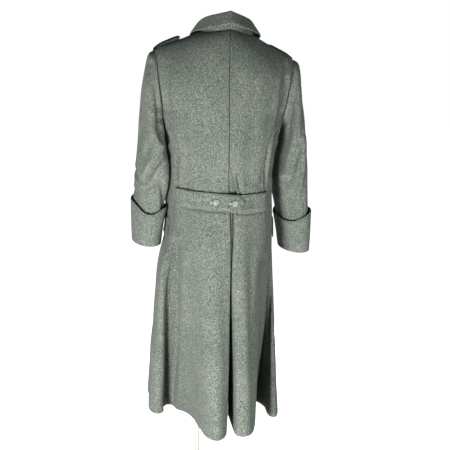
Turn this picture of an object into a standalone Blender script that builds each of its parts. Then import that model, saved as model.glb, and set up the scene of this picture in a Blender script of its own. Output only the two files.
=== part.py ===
"""Military greatcoat standing on a limbless dress form with a pole and a round base.

Metres, +Z up. The back of the coat faces -Y and the wearer's right is +X.
The origin is the centre of the underside of the base, on the floor.
Body tables are in the coat's own frame, whose middle stands at COAT_X, COAT_Y.
"""
import math

import bmesh
import bpy
import numpy as np
from mathutils import Vector
from mathutils.bvhtree import BVHTree

# Cloth
WALL = 0.003
HALF_SEAM = 0.00015
LIFT = 0.0004
# Coat
COAT_X = 0.085
COAT_Y = -0.060
HEM_Z = 0.295
WAIST_Z = 1.000
SEAM_TOP_Z = 1.254
SEAM_ANGLE = 68.0
ARM_ANGLE = 104.5
ROUND = 0.87
SHOULDER_DROP = 0.055
NECK_HALF = 0.088
NECK_BACK = 0.075
NECK_FRONT = 0.100
FRONT_STEP = 0.0035
STRAP_Y = 0.020
SEAT = 0.0004
# Dress form and stand
POLE_RADIUS = 0.008
BASE_RADIUS = 0.190

# Body ovals: height, half width, back y, front y, fullness of the front's side
BODY = (
    (0.740, 0.1700, -0.1420, 0.1420, 0.020),
    (0.900, 0.1640, -0.1360, 0.1360, 0.024),
    (0.960, 0.1590, -0.1310, 0.1310, 0.027),
    (1.000, 0.1570, -0.1290, 0.1310, 0.028),
    (1.050, 0.1570, -0.1290, 0.1330, 0.028),
    (1.120, 0.1650, -0.1370, 0.1410, 0.020),
    (1.200, 0.1775, -0.1450, 0.1490, 0.008),
    (1.300, 0.1880, -0.1500, 0.1500, 0.000),
)
# Shoulder line: distance from the middle, height
RIDGE = (
    (0.0000, 1.5300),
    (0.0880, 1.4970),
    (0.1140, 1.4840),
    (0.1330, 1.4750),
    (0.1580, 1.4650),
    (0.1760, 1.4575),
    (0.1940, 1.4495),
    (0.2060, 1.4420),
    (0.2165, 1.4340),
)
# Lean of the figure: height, centre x
LEAN = (
    (0.300, -0.0120),
    (1.000, -0.0120),
    (1.300, -0.0110),
    (1.430, -0.0030),
    (1.490, 0.0010),
    (1.560, 0.0080),
)
# Centre back pleat: height, left edge x, gap, depth, drift of the depth to the right
PLEAT = (
    (0.295, -0.0340, 0.0240, 0.148, 0.019),
    (0.450, -0.0250, 0.0180, 0.125, 0.013),
    (0.600, -0.0185, 0.0100, 0.100, 0.008),
    (0.750, -0.0125, 0.0050, 0.070, 0.004),
    (0.900, -0.0085, 0.0120, 0.042, 0.000),
    (0.970, -0.0095, 0.0160, 0.034, 0.000),
    (1.020, -0.0115, 0.0260, 0.030, 0.000),
    (1.060, -0.0120, 0.0180, 0.024, 0.000),
    (1.120, -0.0125, 0.0006, 0.012, 0.000),
    (1.300, -0.0135, 0.0006, 0.010, 0.000),
    (1.450, -0.0060, 0.0006, 0.008, 0.000),
    (1.500, 0.0014, 0.0006, 0.008, 0.000),
    (1.560, 0.0076, 0.0006, 0.007, 0.000),
)
# Hem seen from above, from the pleat's edge to the side seam: x, y
HEM_LEFT = (
    (-0.034, -0.222), (-0.046, -0.248), (-0.070, -0.264), (-0.093, -0.240),
    (-0.107, -0.161), (-0.117, -0.077), (-0.137, -0.012), (-0.158, 0.018),
    (-0.185, 0.038),
)
HEM_RIGHT = (
    (-0.010, -0.212), (-0.003, -0.238), (0.011, -0.249), (0.031, -0.243),
    (0.051, -0.213), (0.067, -0.155), (0.081, -0.095), (0.095, -0.035),
    (0.110, 0.022),
)
# Hem from the left side seam round the front to the right side seam: x, y
HEM_FRONT = (
    (-0.185, 0.038), (-0.203, 0.000), (-0.226, -0.017), (-0.243, 0.004),
    (-0.248, 0.050), (-0.238, 0.096), (-0.224, 0.132), (-0.236, 0.172),
    (-0.236, 0.212), (-0.205, 0.236), (-0.170, 0.222), (-0.136, 0.242),
    (-0.100, 0.272), (-0.050, 0.283), (0.000, 0.285), (0.050, 0.278),
    (0.092, 0.262), (0.124, 0.232), (0.158, 0.216), (0.176, 0.176),
    (0.160, 0.122), (0.150, 0.076), (0.165, 0.030), (0.168, -0.022),
    (0.160, -0.076), (0.141, -0.108), (0.127, -0.098), (0.124, -0.065),
    (0.127, -0.028), (0.122, 0.000), (0.110, 0.022),
)
# Plain flare of the hem under the flutes: centre x, half width, back y, front y
FLARE = (-0.036, 0.205, -0.172, 0.225)
# Sleeve rings: step, outer x, outer z, inner x, inner z, middle y, half depth, drop at the back
SLEEVE = (
    (0.00, 0.2165, 1.4340, 0.1840, 1.2350, 0.000, 0.062, 0.000),
    (0.06, 0.2360, 1.4200, 0.1870, 1.2220, 0.000, 0.070, 0.000),
    (0.12, 0.2455, 1.3700, 0.1890, 1.2120, 0.000, 0.075, 0.000),
    (0.20, 0.2530, 1.3000, 0.1900, 1.2000, 0.000, 0.079, 0.000),
    (0.30, 0.2590, 1.2250, 0.1900, 1.1780, 0.000, 0.081, 0.003),
    (0.42, 0.2630, 1.1500, 0.1850, 1.1300, -0.002, 0.079, 0.006),
    (0.54, 0.2680, 1.0850, 0.1770, 1.0750, 0.004, 0.075, 0.009),
    (0.66, 0.2740, 1.0200, 0.1790, 1.0150, 0.022, 0.071, 0.011),
    (0.78, 0.2790, 0.9550, 0.1890, 0.9500, 0.042, 0.066, 0.012),
    (0.90, 0.2830, 0.8900, 0.1955, 0.8850, 0.060, 0.065, 0.011),
    (1.00, 0.2850, 0.8350, 0.1985, 0.8300, 0.074, 0.066, 0.010),
)
# Hang of the sleeves: step, left and right shift x, left and right lift, left and right twist
SWING = (
    (0.00, 0.000, 0.000, 0.000, 0.000, 0.000, 0.000),
    (0.12, 0.004, 0.000, 0.000, 0.000, 0.003, 0.000),
    (0.30, 0.006, 0.001, 0.000, 0.000, 0.010, -0.008),
    (0.54, 0.005, -0.002, 0.003, -0.002, 0.018, -0.020),
    (0.78, 0.007, 0.006, 0.004, -0.004, 0.009, -0.016),
    (1.00, 0.009, 0.014, 0.003, -0.005, 0.000, -0.010),
)
# Collar: part of the way round from the back, roll height, roll out, edge out, edge height
COLLAR = (
    (0.00, 0.052, 0.008, 0.031, 0.014),
    (0.22, 0.046, -0.002, 0.023, 0.008),
    (0.42, 0.033, -0.011, 0.017, 0.004),
    (0.60, 0.030, -0.010, 0.021, -0.005),
    (0.80, 0.032, -0.004, 0.026, -0.020),
    (1.00, 0.036, 0.001, 0.030, -0.036),
)
# Half belt: x, middle height, half height
BELT = (
    (-0.165, 1.0075, 0.0245),
    (-0.120, 1.0000, 0.0265),
    (-0.033, 0.9890, 0.0285),
    (0.031, 0.9855, 0.0275),
    (0.120, 0.9865, 0.0310),
)
SKIRT_ROWS = (0.295, 0.390, 0.480, 0.570, 0.660, 0.745, 0.825, 0.890, 0.945, 1.000, 1.055, 1.115, 1.170, 1.215, 1.254)
YOKE_ROWS = (0.0, 0.13, 0.27, 0.41, 0.55, 0.70, 0.85, 1.0)
BACK_STEPS = (0.0, 7.0, 14.0, 21.0, 28.0, 36.0, 46.0, 59.0, 75.0)
NECK_STEPS = (0.0, 15.0, 30.0, 45.0, 60.0, 75.0)
SHOULDER_STEPS = (0.0, 0.12, 0.24, 0.35, 0.50, 0.67, 0.84, 1.0)
UNDERARM_STEPS = (0.0, 0.15, 0.3, 0.45, 0.62, 0.8)

WOOL = (0.300, 0.335, 0.310)
STRAP_GREEN = (0.045, 0.065, 0.050)
HORN = (0.420, 0.430, 0.400)
LINEN = (0.720, 0.690, 0.620)
CREAM = (0.780, 0.750, 0.680)


def track(rows, at, loose=False):
    """Smooth curve through the rows of a table; the first column is the key."""
    rows = np.asarray(rows, float)
    key = rows[:, 0]
    val = rows[:, 1:]
    step = np.diff(key)[:, None]
    chord = np.diff(val, axis=0) / step
    slope = np.zeros_like(val)
    slope[0] = chord[0]
    slope[-1] = chord[-1]
    slope[1:-1] = 0.5 * (chord[:-1] + chord[1:])
    if not loose:
        same = chord[:-1] * chord[1:] > 0.0
        least = np.minimum(np.abs(chord[:-1]), np.abs(chord[1:]))
        cap = np.sign(chord[1:]) * np.minimum(np.abs(slope[1:-1]), 3.0 * least)
        slope[1:-1] = np.where(same, cap, 0.0)
    at = np.clip(np.asarray(at, float), key[0], key[-1])
    i = np.clip(np.searchsorted(key, at, side="right") - 1, 0, len(key) - 2)
    h = (key[i + 1] - key[i])[..., None]
    t = (at - key[i])[..., None] / h
    value = val[i] * (2 * t**3 - 3 * t**2 + 1) + val[i + 1] * (3 * t**2 - 2 * t**3)
    return value + h * (slope[i] * (t**3 - 2 * t**2 + t) + slope[i + 1] * (t**3 - t**2))


def ease(t):
    """Soft step from 0 to 1."""
    t = np.clip(t, 0.0, 1.0)
    return t * t * (3.0 - 2.0 * t)


def by_length(points):
    """Table of a plan curve keyed by its share of the whole length."""
    points = np.asarray(points, float)
    part = np.concatenate([[0.0], np.cumsum(np.linalg.norm(np.diff(points, axis=0), axis=1))])
    return np.column_stack([part / part[-1], points])


def oval(angle, half, back, front):
    """Point of a rounded oval; angle 0 is the centre back, 90 the wearer's right."""
    s = np.sin(np.radians(angle))
    c = np.cos(np.radians(angle))
    x = half * np.sign(s) * np.abs(s) ** ROUND
    y = np.where(c > 0.0, back, front) * np.abs(c) ** ROUND
    return x, y


def body_section(angle, height):
    """Body surface below the arms in the upright frame."""
    half, back, front, full = np.moveaxis(track(BODY, height), -1, 0)
    x, y = oval(angle, half, back, front)
    x = x + full * np.exp(-(((angle - 116.0) / 26.0) ** 2))
    return np.stack([x, y, height + 0.0 * x], -1)


def armhole(turn):
    """Armhole loop of the right side; turn 0 is the shoulder tip and 90 the back."""
    row = SLEEVE[0]
    c = np.cos(np.radians(turn))
    s = np.sin(np.radians(turn))
    x = 0.5 * (row[1] + row[3]) + 0.5 * (row[1] - row[3]) * c
    z = 0.5 * (row[2] + row[4]) + 0.5 * (row[2] - row[4]) * c
    return np.stack([x, -row[6] * s, z], -1)


def loop_turn(height, front):
    """Turn of the armhole loop at a height, on its back or its front half."""
    row = SLEEVE[0]
    c = (height - 0.5 * (row[2] + row[4])) / (0.5 * (row[2] - row[4]))
    turn = math.degrees(math.acos(c))
    return 360.0 - turn if front else turn


SEAM_TURN = loop_turn(SEAM_TOP_Z, False)
CHEST_Z = SEAM_TOP_Z + 0.008
CHEST_TURN = loop_turn(CHEST_Z, True)


def slimmer(angle, height, side):
    """Shift in x: the right side has less fullness, the left hip is pressed in by the cuff."""
    full = track(BODY, height)[..., 3] * np.exp(-(((angle - 116.0) / 26.0) ** 2))
    press = 0.019 * np.exp(-(((angle - 96.0) / 34.0) ** 2)) * np.exp(-(((height - 0.895) / 0.075) ** 2))
    return np.where(side > 0.0, -0.65 * full * ease((column_top(angle) - height) / 0.10), press)


def side_pull(angle, top):
    """Shift that brings the side of the body to the armhole's lower edge."""
    around = np.clip((angle - SEAM_ANGLE) / (ARM_ANGLE - SEAM_ANGLE), 0.0, 1.0)
    loop = armhole(SEAM_TURN + (CHEST_TURN - SEAM_TURN) * around)
    edge = np.clip(angle, SEAM_ANGLE, ARM_ANGLE)
    shift = loop - body_section(edge, loop[..., 2])
    shift[..., 2] = 0.0
    fade = np.where(angle < SEAM_ANGLE, angle / SEAM_ANGLE, (180.0 - angle) / (180.0 - ARM_ANGLE))
    return shift * (np.clip(fade, 0.0, 1.0) ** 3)[..., None]


def column_top(angle):
    """Height of the row that meets the armhole's lower edge."""
    around = np.clip((angle - SEAM_ANGLE) / (ARM_ANGLE - SEAM_ANGLE), 0.0, 1.0)
    return armhole(SEAM_TURN + (CHEST_TURN - SEAM_TURN) * around)[..., 2]


def trunk(angle, height):
    """Right half of the body from the waist to the armhole's lower edge."""
    top = column_top(angle)
    point = body_section(angle, height)
    return point + side_pull(angle, top) * ease(1.0 - (top - height) / 0.11)[..., None]


def lean(points, whole):
    """Upright frame to the leaning figure; whole for sleeves, that drop all along."""
    points = np.array(points, float)
    share = 1.0 if whole else ease((points[..., 2] - WAIST_Z) / 0.20)
    x = points[..., 0].copy()
    points[..., 0] = x + track(LEAN, points[..., 2])[..., 0]
    points[..., 2] = points[..., 2] - SHOULDER_DROP * x * share
    return points


def yoke(part, level, front):
    """Right half above the arms; part 0 is the centre, 1 the armhole; level 1 is the shoulder line."""
    part = np.asarray(part, float)
    level = np.asarray(level, float)
    low = CHEST_Z if front else SEAM_TOP_Z
    first = 180.0 if front else 0.0
    last = ARM_ANGLE if front else SEAM_ANGLE
    shape = 1.17 if front else 0.83
    power = 1.25 if front else 1.0
    angle = first + (last - first) * part
    bottom = trunk(angle, low + 0.0 * part)
    start = trunk(np.array([first]), np.array([low]))[0]
    end = trunk(np.array([last]), np.array([low]))[0]
    s = np.sin(0.5 * math.pi * level)
    c = np.cos(0.5 * math.pi * level)
    centre = np.stack([0.0 * level, start[1] * c**shape, low + (RIDGE[0][1] - low) * s**shape], -1)
    turn = (CHEST_TURN if front else SEAM_TURN) * (1.0 - level) + (360.0 if front else 0.0) * level
    side = armhole(turn)
    reach = RIDGE[-1][0] * part**power
    top = np.stack([reach, 0.0 * reach, track(RIDGE, reach)[..., 0]], -1)
    tip = np.array([RIDGE[-1][0], 0.0, RIDGE[-1][1]])
    mid = np.array([0.0, 0.0, RIDGE[0][1]])
    f = ease(part)[..., None]
    h = ease(level)[..., None]
    corner = (1 - h) * ((1 - f) * start + f * end) + h * ((1 - f) * mid + f * tip)
    return (1 - f) * centre + f * side + (1 - h) * bottom + h * top - corner


def neck_level(part, front):
    """Level where a column of the yoke meets the neck seam."""
    depth = NECK_FRONT if front else NECK_BACK
    low, high = 0.05, 1.0
    if yoke(part, 1.0, front)[0] >= NECK_HALF - 1e-6:
        return 1.0
    for _ in range(40):
        mid = 0.5 * (low + high)
        x, y, _z = yoke(part, mid, front)
        if (x / NECK_HALF) ** 2 + (y / depth) ** 2 > 1.0:
            low = mid
        else:
            high = mid
    return 0.5 * (low + high)


def columns(front):
    """Columns from the centre to the armhole, with the neck's corner among them."""
    power = 0.8 if front else 1.0
    steps = NECK_STEPS if front else BACK_STEPS
    neck = [NECK_HALF * math.sin(math.radians(a)) for a in steps]
    shoulder = [NECK_HALF + (RIDGE[-1][0] - NECK_HALF) * t for t in SHOULDER_STEPS]
    return np.array([(x / RIDGE[-1][0]) ** power for x in neck + shoulder])


def skirt(waist, plain, hem, height):
    """Flare from the waist to the fluted hem."""
    t = np.clip((WAIST_Z - height) / (WAIST_Z - HEM_Z), 0.0, 1.0)[..., None]
    flare = 1.0 - (1.0 - t) ** 1.7
    xy = waist + (plain - waist) * flare + (hem - plain) * t**1.25
    return np.concatenate([xy, height[..., None]], -1)


def lower(angle, hem, side, rows):
    """Grid below the arms; angle, plan of the hem and side of each column."""
    grid = np.zeros((len(angle), len(rows), 3))
    top = column_top(angle)
    mirror = np.stack([side, np.ones(len(side)), np.ones(len(side))], -1)
    low = lean(body_section(angle, np.full(len(angle), WAIST_Z)) * mirror, False)
    low[:, 0] += np.minimum(slimmer(angle, np.full(len(angle), WAIST_Z), side), 0.0)
    px, py = oval(angle, *FLARE[1:])
    plain = np.stack([FLARE[0] + side * px, py], -1)
    for j, row in enumerate(rows):
        height = HEM_Z + (top - HEM_Z) * (row - HEM_Z) / (SEAM_TOP_Z - HEM_Z)
        above = lean(trunk(angle, height) * mirror, False)
        above[:, 0] += slimmer(angle, height, side)
        under = skirt(low[:, :2], plain, hem, height)
        under[:, 0] += np.maximum(slimmer(angle, height, side), 0.0)
        grid[:, j] = np.where((height >= WAIST_Z)[:, None], above, under)
    return grid


def back_grid(side):
    """Outer surface of one back panel."""
    part = columns(False)
    angle = SEAM_ANGLE * part
    hem = track(by_length(HEM_RIGHT if side > 0 else HEM_LEFT), part, True)
    sides = np.full(len(part), float(side))
    low = lower(angle, hem, sides, SKIRT_ROWS)
    high = np.zeros((len(part), len(YOKE_ROWS) - 1, 3))
    for i, p in enumerate(part):
        top = neck_level(p, False)
        level = top * np.array(YOKE_ROWS[1:])
        high[i] = lean(yoke(np.full(len(level), p), level, False) * np.array([side, 1, 1]), False)
    grid = np.concatenate([low, high], axis=1)
    edge, gap, _depth, _drift = np.moveaxis(track(PLEAT, grid[0, :, 2]), -1, 0)
    target = edge + (gap if side > 0 else 0.0)
    near = np.clip(1.0 - part / 0.40, 0.0, 1.0) ** 2
    grid[:, :, 0] += near[:, None] * (target - grid[0, :, 0])[None, :]
    return grid


def add_folds(left, right):
    """Fold both back panels in to the depth of the centre pleat."""
    _edge, _gap, depth, drift = np.moveaxis(track(PLEAT, left[0, :, 2]), -1, 0)
    deep = 0.5 * (left[0] + right[0])
    deep[:, 0] += drift
    deep[:, 1] += depth
    folded = []
    for grid, side in ((left, -1.0), (right, 1.0)):
        end = deep.copy()
        end[:, 0] += side * HALF_SEAM
        end[-1, 2] -= 0.0010
        grid[0, -1, 2] -= 0.0012
        folds = [grid[0] + (end - grid[0]) * s for s in (1.0, 0.66, 0.3)]
        folded.append(np.concatenate([np.array(folds), grid], axis=0))
    return folded[0], folded[1], 3


def front_grid():
    """Outer surface of both fronts in one ring, from the left side seam to the right one."""
    part = columns(True)
    under = np.array([SEAM_ANGLE + (ARM_ANGLE - SEAM_ANGLE) * t for t in UNDERARM_STEPS])
    half = np.concatenate([under, 180.0 + (ARM_ANGLE - 180.0) * part[::-1]])
    angle = np.concatenate([half, half[-2::-1]])
    side = np.concatenate([-np.ones(len(half)), np.ones(len(half) - 1)])
    share = np.where(side < 0, angle - SEAM_ANGLE, 360.0 - SEAM_ANGLE - angle) / (360.0 - 2 * SEAM_ANGLE)
    hem = track(by_length(HEM_FRONT), share, True)
    low = lower(angle, hem, side, SKIRT_ROWS)
    count = len(YOKE_ROWS) - 1
    high = np.full((len(angle), count, 3), np.nan)
    first = len(under)
    for i in range(first, len(angle) - first):
        p = (180.0 - angle[i]) / (180.0 - ARM_ANGLE)
        level = neck_level(p, True) * np.array(YOKE_ROWS[1:])
        mirror = np.array([side[i], 1, 1])
        high[i] = lean(yoke(np.full(count, p), level, True) * mirror, False)
    return np.concatenate([low, high], axis=1), first, len(half) - 1


def cells(grid, flip):
    """Quads of a grid, missing where a corner is missing."""
    quads = []
    known = ~np.isnan(grid[..., 0])
    for i in range(grid.shape[0] - 1):
        for j in range(grid.shape[1] - 1):
            if known[i:i + 2, j:j + 2].all():
                quad = [(i, j), (i + 1, j), (i + 1, j + 1), (i, j + 1)]
                quads.append(quad[::-1] if flip else quad)
    return quads


def halves(faces):
    """Quads split into triangles along one diagonal."""
    return [[f[0], f[k], f[k + 1]] for f in faces for k in (1, 2)]


def spot(point):
    """Key that joins points lying at one place."""
    return tuple(int(round(v * 20000.0)) for v in point)


def shared_normals(pieces):
    """Normals that neighbouring grids share along their seams."""
    total = {}
    weight = {}
    for grid, flip in pieces:
        for quad in cells(grid, flip):
            a, b, c, d = (grid[q] for q in quad)
            normal = np.cross(c - a, d - b)
            for q in quad:
                key = spot(grid[q])
                total[key] = total.get(key, 0.0) + normal
                weight[key] = weight.get(key, 0.0) + np.linalg.norm(normal)
    result = []
    for grid, _flip in pieces:
        field = np.zeros_like(grid)
        for i in range(grid.shape[0]):
            for j in range(grid.shape[1]):
                key = spot(grid[i, j]) if not np.isnan(grid[i, j, 0]) else None
                if key in total:
                    size = np.linalg.norm(total[key])
                    sharp = max(size / weight[key], 0.72)
                    field[i, j] = total[key] / size / sharp
        result.append(field)
    return result


def inset(grid, first=False, last=False, top=False):
    """Draw chosen edges of a grid back by half a seam."""
    grid = grid.copy()
    pairs = []
    if first:
        pairs.append(((slice(0, 1), slice(None)), (slice(1, 2), slice(None))))
    if last:
        pairs.append(((slice(-1, None), slice(None)), (slice(-2, -1), slice(None))))
    if top:
        pairs.append(((slice(None), slice(-1, None)), (slice(None), slice(-2, -1))))
    for edge, inner in pairs:
        way = grid[inner] - grid[edge]
        size = np.linalg.norm(way, axis=-1, keepdims=True)
        grid[edge] = grid[edge] + way / np.maximum(size, 1e-9) * HALF_SEAM
    return grid


def paint(name, colour, rough, metal=0.0):
    """Plain material of one piece."""
    material = bpy.data.materials.new(name)
    material.use_nodes = True
    shader = material.node_tree.nodes["Principled BSDF"]
    shader.inputs["Base Color"].default_value = (*colour, 1.0)
    shader.inputs["Roughness"].default_value = rough
    shader.inputs["Metallic"].default_value = metal
    return material


def add_object(name, verts, faces, colour, rough=0.9, metal=0.0):
    """One closed piece, moved to the part's frame."""
    moved = [(x + COAT_X, y + COAT_Y, z) for x, y, z in verts]
    mesh = bpy.data.meshes.new(name)
    mesh.from_pydata(moved, [], faces)
    work = bmesh.new()
    work.from_mesh(mesh)
    bmesh.ops.triangulate(work, faces=[f for f in work.faces if len(f.verts) > 4])
    if work.calc_volume(signed=True) < 0.0:
        bmesh.ops.reverse_faces(work, faces=work.faces)
    work.to_mesh(mesh)
    work.free()
    mesh.polygons.foreach_set("use_smooth", [True] * len(mesh.polygons))
    mesh.materials.append(paint(name + "_finish", colour, rough, metal))
    thing = bpy.data.objects.new(name, mesh)
    bpy.context.scene.collection.objects.link(thing)
    return thing


def thick(name, grid, normals, flip, colour, wall=WALL, closed=False):
    """Wall of cloth from its outer grid, offset inward; closed joins first and last column."""
    index = {}
    outer = []
    inner = []
    faces = []
    quads = cells(grid, flip)
    count = grid.shape[0] - 1
    for quad in quads:
        face = []
        for i, j in quad:
            key = (0, j) if closed and i == count else (i, j)
            if key not in index:
                index[key] = len(outer)
                outer.append(grid[key])
                inner.append(grid[key] - normals[key] * wall)
            face.append(index[key])
        faces.append(face)
    total = len(outer)
    faces = halves(faces)
    edges = {}
    for face in faces:
        for k in range(3):
            edges[(face[k], face[(k + 1) % 3])] = True
    rims = []
    for a, b in edges:
        if (b, a) not in edges:
            if outer[a][2] < outer[b][2]:
                rims.extend(([b, a, b + total], [a, a + total, b + total]))
            else:
                rims.extend(([b, a, a + total], [b, a + total, b + total]))
    backs = [[v + total for v in reversed(face)] for face in faces]
    return add_object(name, outer + inner, faces + backs + rims, colour)


def sleeve_point(side, step, turn, grow=0.0):
    """Point of a sleeve ring; turn 0 is the outside, 90 the back."""
    ox, oz, ix, iz, mid, half, drop = np.moveaxis(track(SLEEVE, step), -1, 0)
    c = np.cos(np.radians(turn))
    s = np.sin(np.radians(turn))
    size = np.hypot(ox - ix, oz - iz)
    long_x = 0.5 * (ox - ix) * (1.0 + 2.0 * grow / size)
    long_z = 0.5 * (oz - iz) * (1.0 + 2.0 * grow / size)
    x = 0.5 * (ox + ix) + long_x * c
    y = mid - (half + grow) * s
    z = 0.5 * (oz + iz) + long_z * c - drop * s
    away = 0.0003 * ease(1.0 - np.asarray(step) / 0.05)
    swing = track(SWING, step)[..., (0, 2, 4) if side < 0 else (1, 3, 5)]
    x = (x + away - swing[..., 2] * s) * side + swing[..., 0]
    return lean(np.stack([x, y, z + swing[..., 1]], -1), True)


def hind_turn(step):
    """Turn of the seam at the back of the sleeve."""
    return track(((0.0, 108.0), (0.5, 96.0), (0.8, 72.0), (1.0, 66.0)), step)[..., 0]


def sleeve_grid(side, top_piece, steps, count):
    """Outer surface of the top or the under sleeve."""
    hind = hind_turn(steps)
    fore = np.full(len(steps), -122.0)
    grid = np.zeros((count + 1, len(steps), 3))
    for i in range(count + 1):
        t = i / count
        if top_piece:
            turn = fore + (hind - fore) * t
        else:
            turn = hind + (fore + 360.0 - hind) * t
        grid[i] = sleeve_point(side, steps, turn)
    return grid


def build_sleeve(side, word):
    """Two-piece sleeve and its turned-back cuff."""
    steps = np.array([0.0, 0.03, 0.07, 0.12, 0.18, 0.25, 0.33, 0.42, 0.51, 0.60, 0.69, 0.78, 0.88, 0.985])
    top = sleeve_grid(side, True, steps, 11)
    under = sleeve_grid(side, False, steps, 8)
    flip = side < 0
    fields = shared_normals([(top, flip), (under, flip)])
    top = inset(top, first=True, last=True)
    under = inset(under, first=True, last=True)
    thick("sleeve_%s_top" % word, top, fields[0], flip, WOOL)
    thick("sleeve_%s_under" % word, under, fields[1], flip, WOOL)
    turns = np.linspace(0.0, 360.0, 23)
    cuff = np.zeros((len(turns), 6, 3))
    for i, turn in enumerate(turns):
        s = math.sin(math.radians(turn))
        c = math.cos(math.radians(turn))
        high = 0.795 + 0.030 * s - 0.022 * c
        for j, t in enumerate((0.0, 0.15, 0.38, 0.62, 0.84, 1.0)):
            step = 1.0 + (high - 1.0) * t
            grow = WALL + 0.0006 + 0.0062 * t
            cuff[i, j] = sleeve_point(side, np.array(step), np.array(turn), grow)
    cuff[-1] = cuff[0]
    cuff_flip = side > 0
    field = shared_normals([(cuff, cuff_flip)])[0]
    thick("cuff_" + word, cuff, field, cuff_flip, WOOL, closed=True)


def neck_curve():
    """Neck seam from the left of the centre front round the back to the right."""
    points = []
    for front, side in ((True, -1), (False, -1), (False, 1), (True, 1)):
        part = columns(front)[:len(NECK_STEPS if front else BACK_STEPS) + 1]
        if front:
            part = np.concatenate([[0.006], part[1:]])
        parts = part[::-1] if front != (side < 0) else part
        for p in parts:
            point = yoke(p, neck_level(p, front), front) * np.array([side, 1, 1])
            point = lean(point, False)
            if not points or np.linalg.norm(point - points[-1]) > 0.002:
                points.append(point)
    return np.array(points)


def build_collar():
    """Stand-and-fall collar closed at the throat."""
    neck = neck_curve()
    part = np.concatenate([[0.0], np.cumsum(np.linalg.norm(np.diff(neck, axis=0), axis=1))])
    even = part / part[-1]
    way = np.gradient(neck, axis=0)
    out = np.stack([way[:, 1], -way[:, 0], 0.0 * even], -1)
    out = out / np.linalg.norm(out, axis=1, keepdims=True)
    rise, roll, edge, low = np.moveaxis(track(COLLAR, np.abs(even - 0.5) * 2.0), -1, 0)
    up = np.array([0.0, 0.0, 1.0])
    profile = (
        (-WALL + 0 * roll, 0.0005 + 0 * rise),
        (-WALL - 0.0010 + 0.3 * roll, 0.45 * rise),
        (-WALL - 0.0020 + 0.6 * roll, 0.80 * rise),
        (-0.0035 + roll, 0.95 * rise),
        (roll + 0.002, rise),
        (roll + 0.0075, 0.95 * rise),
        (roll + 0.50 * (edge - roll) + 0.003, low + 0.62 * (rise - low)),
        (roll + 0.80 * (edge - roll) + 0.001, low + 0.30 * (rise - low)),
        (edge, low),
    )
    grid = np.zeros((len(even), len(profile), 3))
    for j, (away, height) in enumerate(profile):
        grid[:, j] = neck + out * away[:, None] + up * height[:, None]
    flip = True
    field = shared_normals([(grid, flip)])[0]
    thick("collar", grid, field, flip, WOOL)


def surface_tree(pieces):
    """Searchable surface of outer grids."""
    verts = []
    faces = []
    for grid, flip in pieces:
        base = len(verts)
        width = grid.shape[1]
        verts.extend([tuple(p) if p[0] == p[0] else (9.0, 9.0, 9.0) for p in grid.reshape(-1, 3)])
        faces.extend(halves([[base + i * width + j for i, j in quad] for quad in cells(grid, flip)]))
    return BVHTree.FromPolygons(verts, faces)


def across(strip, at, value, axis):
    """Point of a strip at a column, which may fall between two, where an axis has a value."""
    a = min(int(at), strip.shape[0] - 2)
    pair = []
    for column in (strip[a], strip[a + 1]):
        order = np.argsort(column[:, axis])
        column = column[order]
        pair.append([np.interp(value, column[:, axis], column[:, k]) for k in range(3)])
    return np.array(pair[0]) + (np.array(pair[1]) - np.array(pair[0])) * (at - a)


def raise_up(name, grid, flip, lift, colour, wall=WALL):
    """Piece lying on a panel, made from the panel's points moved out by lift."""
    normals = shared_normals([(grid, flip)])[0]
    outer = grid + normals * lift[..., None]
    thick(name, outer, normals, flip, colour, wall)
    return outer, normals


def build_button(name, spot_at, normal, radius, tall, colour):
    """Round button with a rim and a dished middle."""
    normal = Vector(normal).normalized()
    side = normal.orthogonal().normalized()
    other = normal.cross(side)
    profile = ((0.0, 0.0), (0.82, 0.0), (1.0, 0.35), (0.92, 0.85), (0.74, 1.0), (0.0, 0.82))
    count = 14
    verts = []
    faces = []
    for r, h in profile:
        ring = 1 if r == 0.0 else count
        for k in range(ring):
            turn = 2.0 * math.pi * k / count
            away = (side * math.cos(turn) + other * math.sin(turn)) * radius * r
            verts.append(Vector(spot_at) + away + normal * (tall * h + LIFT))
    for k in range(count):
        n = (k + 1) % count
        faces.append([0, 1 + n, 1 + k])
        for ring in range(3):
            a = 1 + ring * count
            faces.append([a + k, a + n, a + count + n, a + count + k])
        a = 1 + 3 * count
        faces.append([a + k, a + n, a + count])
    add_object(name, verts, faces, colour, 0.45)


def build_belt(strip):
    """Half belt in two pieces over the centre pleat; the left one laps over."""
    axis = np.array([across(strip, c, 0.99, 2)[0] for c in range(strip.shape[0])])
    edge = axis[axis > -0.162].min()
    for name, start, end in (("belt_left", edge, 0.031), ("belt_right", -0.004, 0.112)):
        inside = axis[(axis > start + 0.004) & (axis < end - 0.002)]
        xs = np.concatenate([[start], inside, [end]])
        if name == "belt_left":
            xs = np.sort(np.concatenate([xs[xs < end - 0.026], end - 0.025 * np.array([1, 0.6, 0.3, 0.1, 0])]))
        at = np.interp(xs, axis, np.arange(len(axis)))
        middle, half = np.moveaxis(track(BELT, xs), -1, 0)
        over = np.clip((xs - (end - 0.025)) / 0.025, 0.0, 1.0) if name == "belt_left" else 0.0 * xs
        half = half * np.sqrt(np.maximum(1.0 - over**2.4, 0.01))
        grid = np.zeros((len(xs), 5, 3))
        for i, c in enumerate(at):
            for j, t in enumerate((-1.0, -0.5, 0.0, 0.5, 1.0)):
                grid[i, j] = across(strip, c, middle[i] + half[i] * t, 2)
        lift = np.full(grid.shape[:2], WALL + LIFT)
        if name == "belt_left":
            lift = lift + (WALL + LIFT) * ease((xs + 0.045) / 0.030)[:, None]
        outer, normals = raise_up(name, grid, False, lift, WOOL)
        if name == "belt_left":
            for k, x in enumerate((-0.051, 0.006)):
                place = np.array([np.interp(x, outer[:, 2, 0], outer[:, 2, n]) for n in range(3)])
                way = np.array([np.interp(x, outer[:, 2, 0], normals[:, 2, n]) for n in range(3)])
                build_button("button_belt_%d" % (k + 1), place, way, 0.0095, 0.005, HORN)


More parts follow.
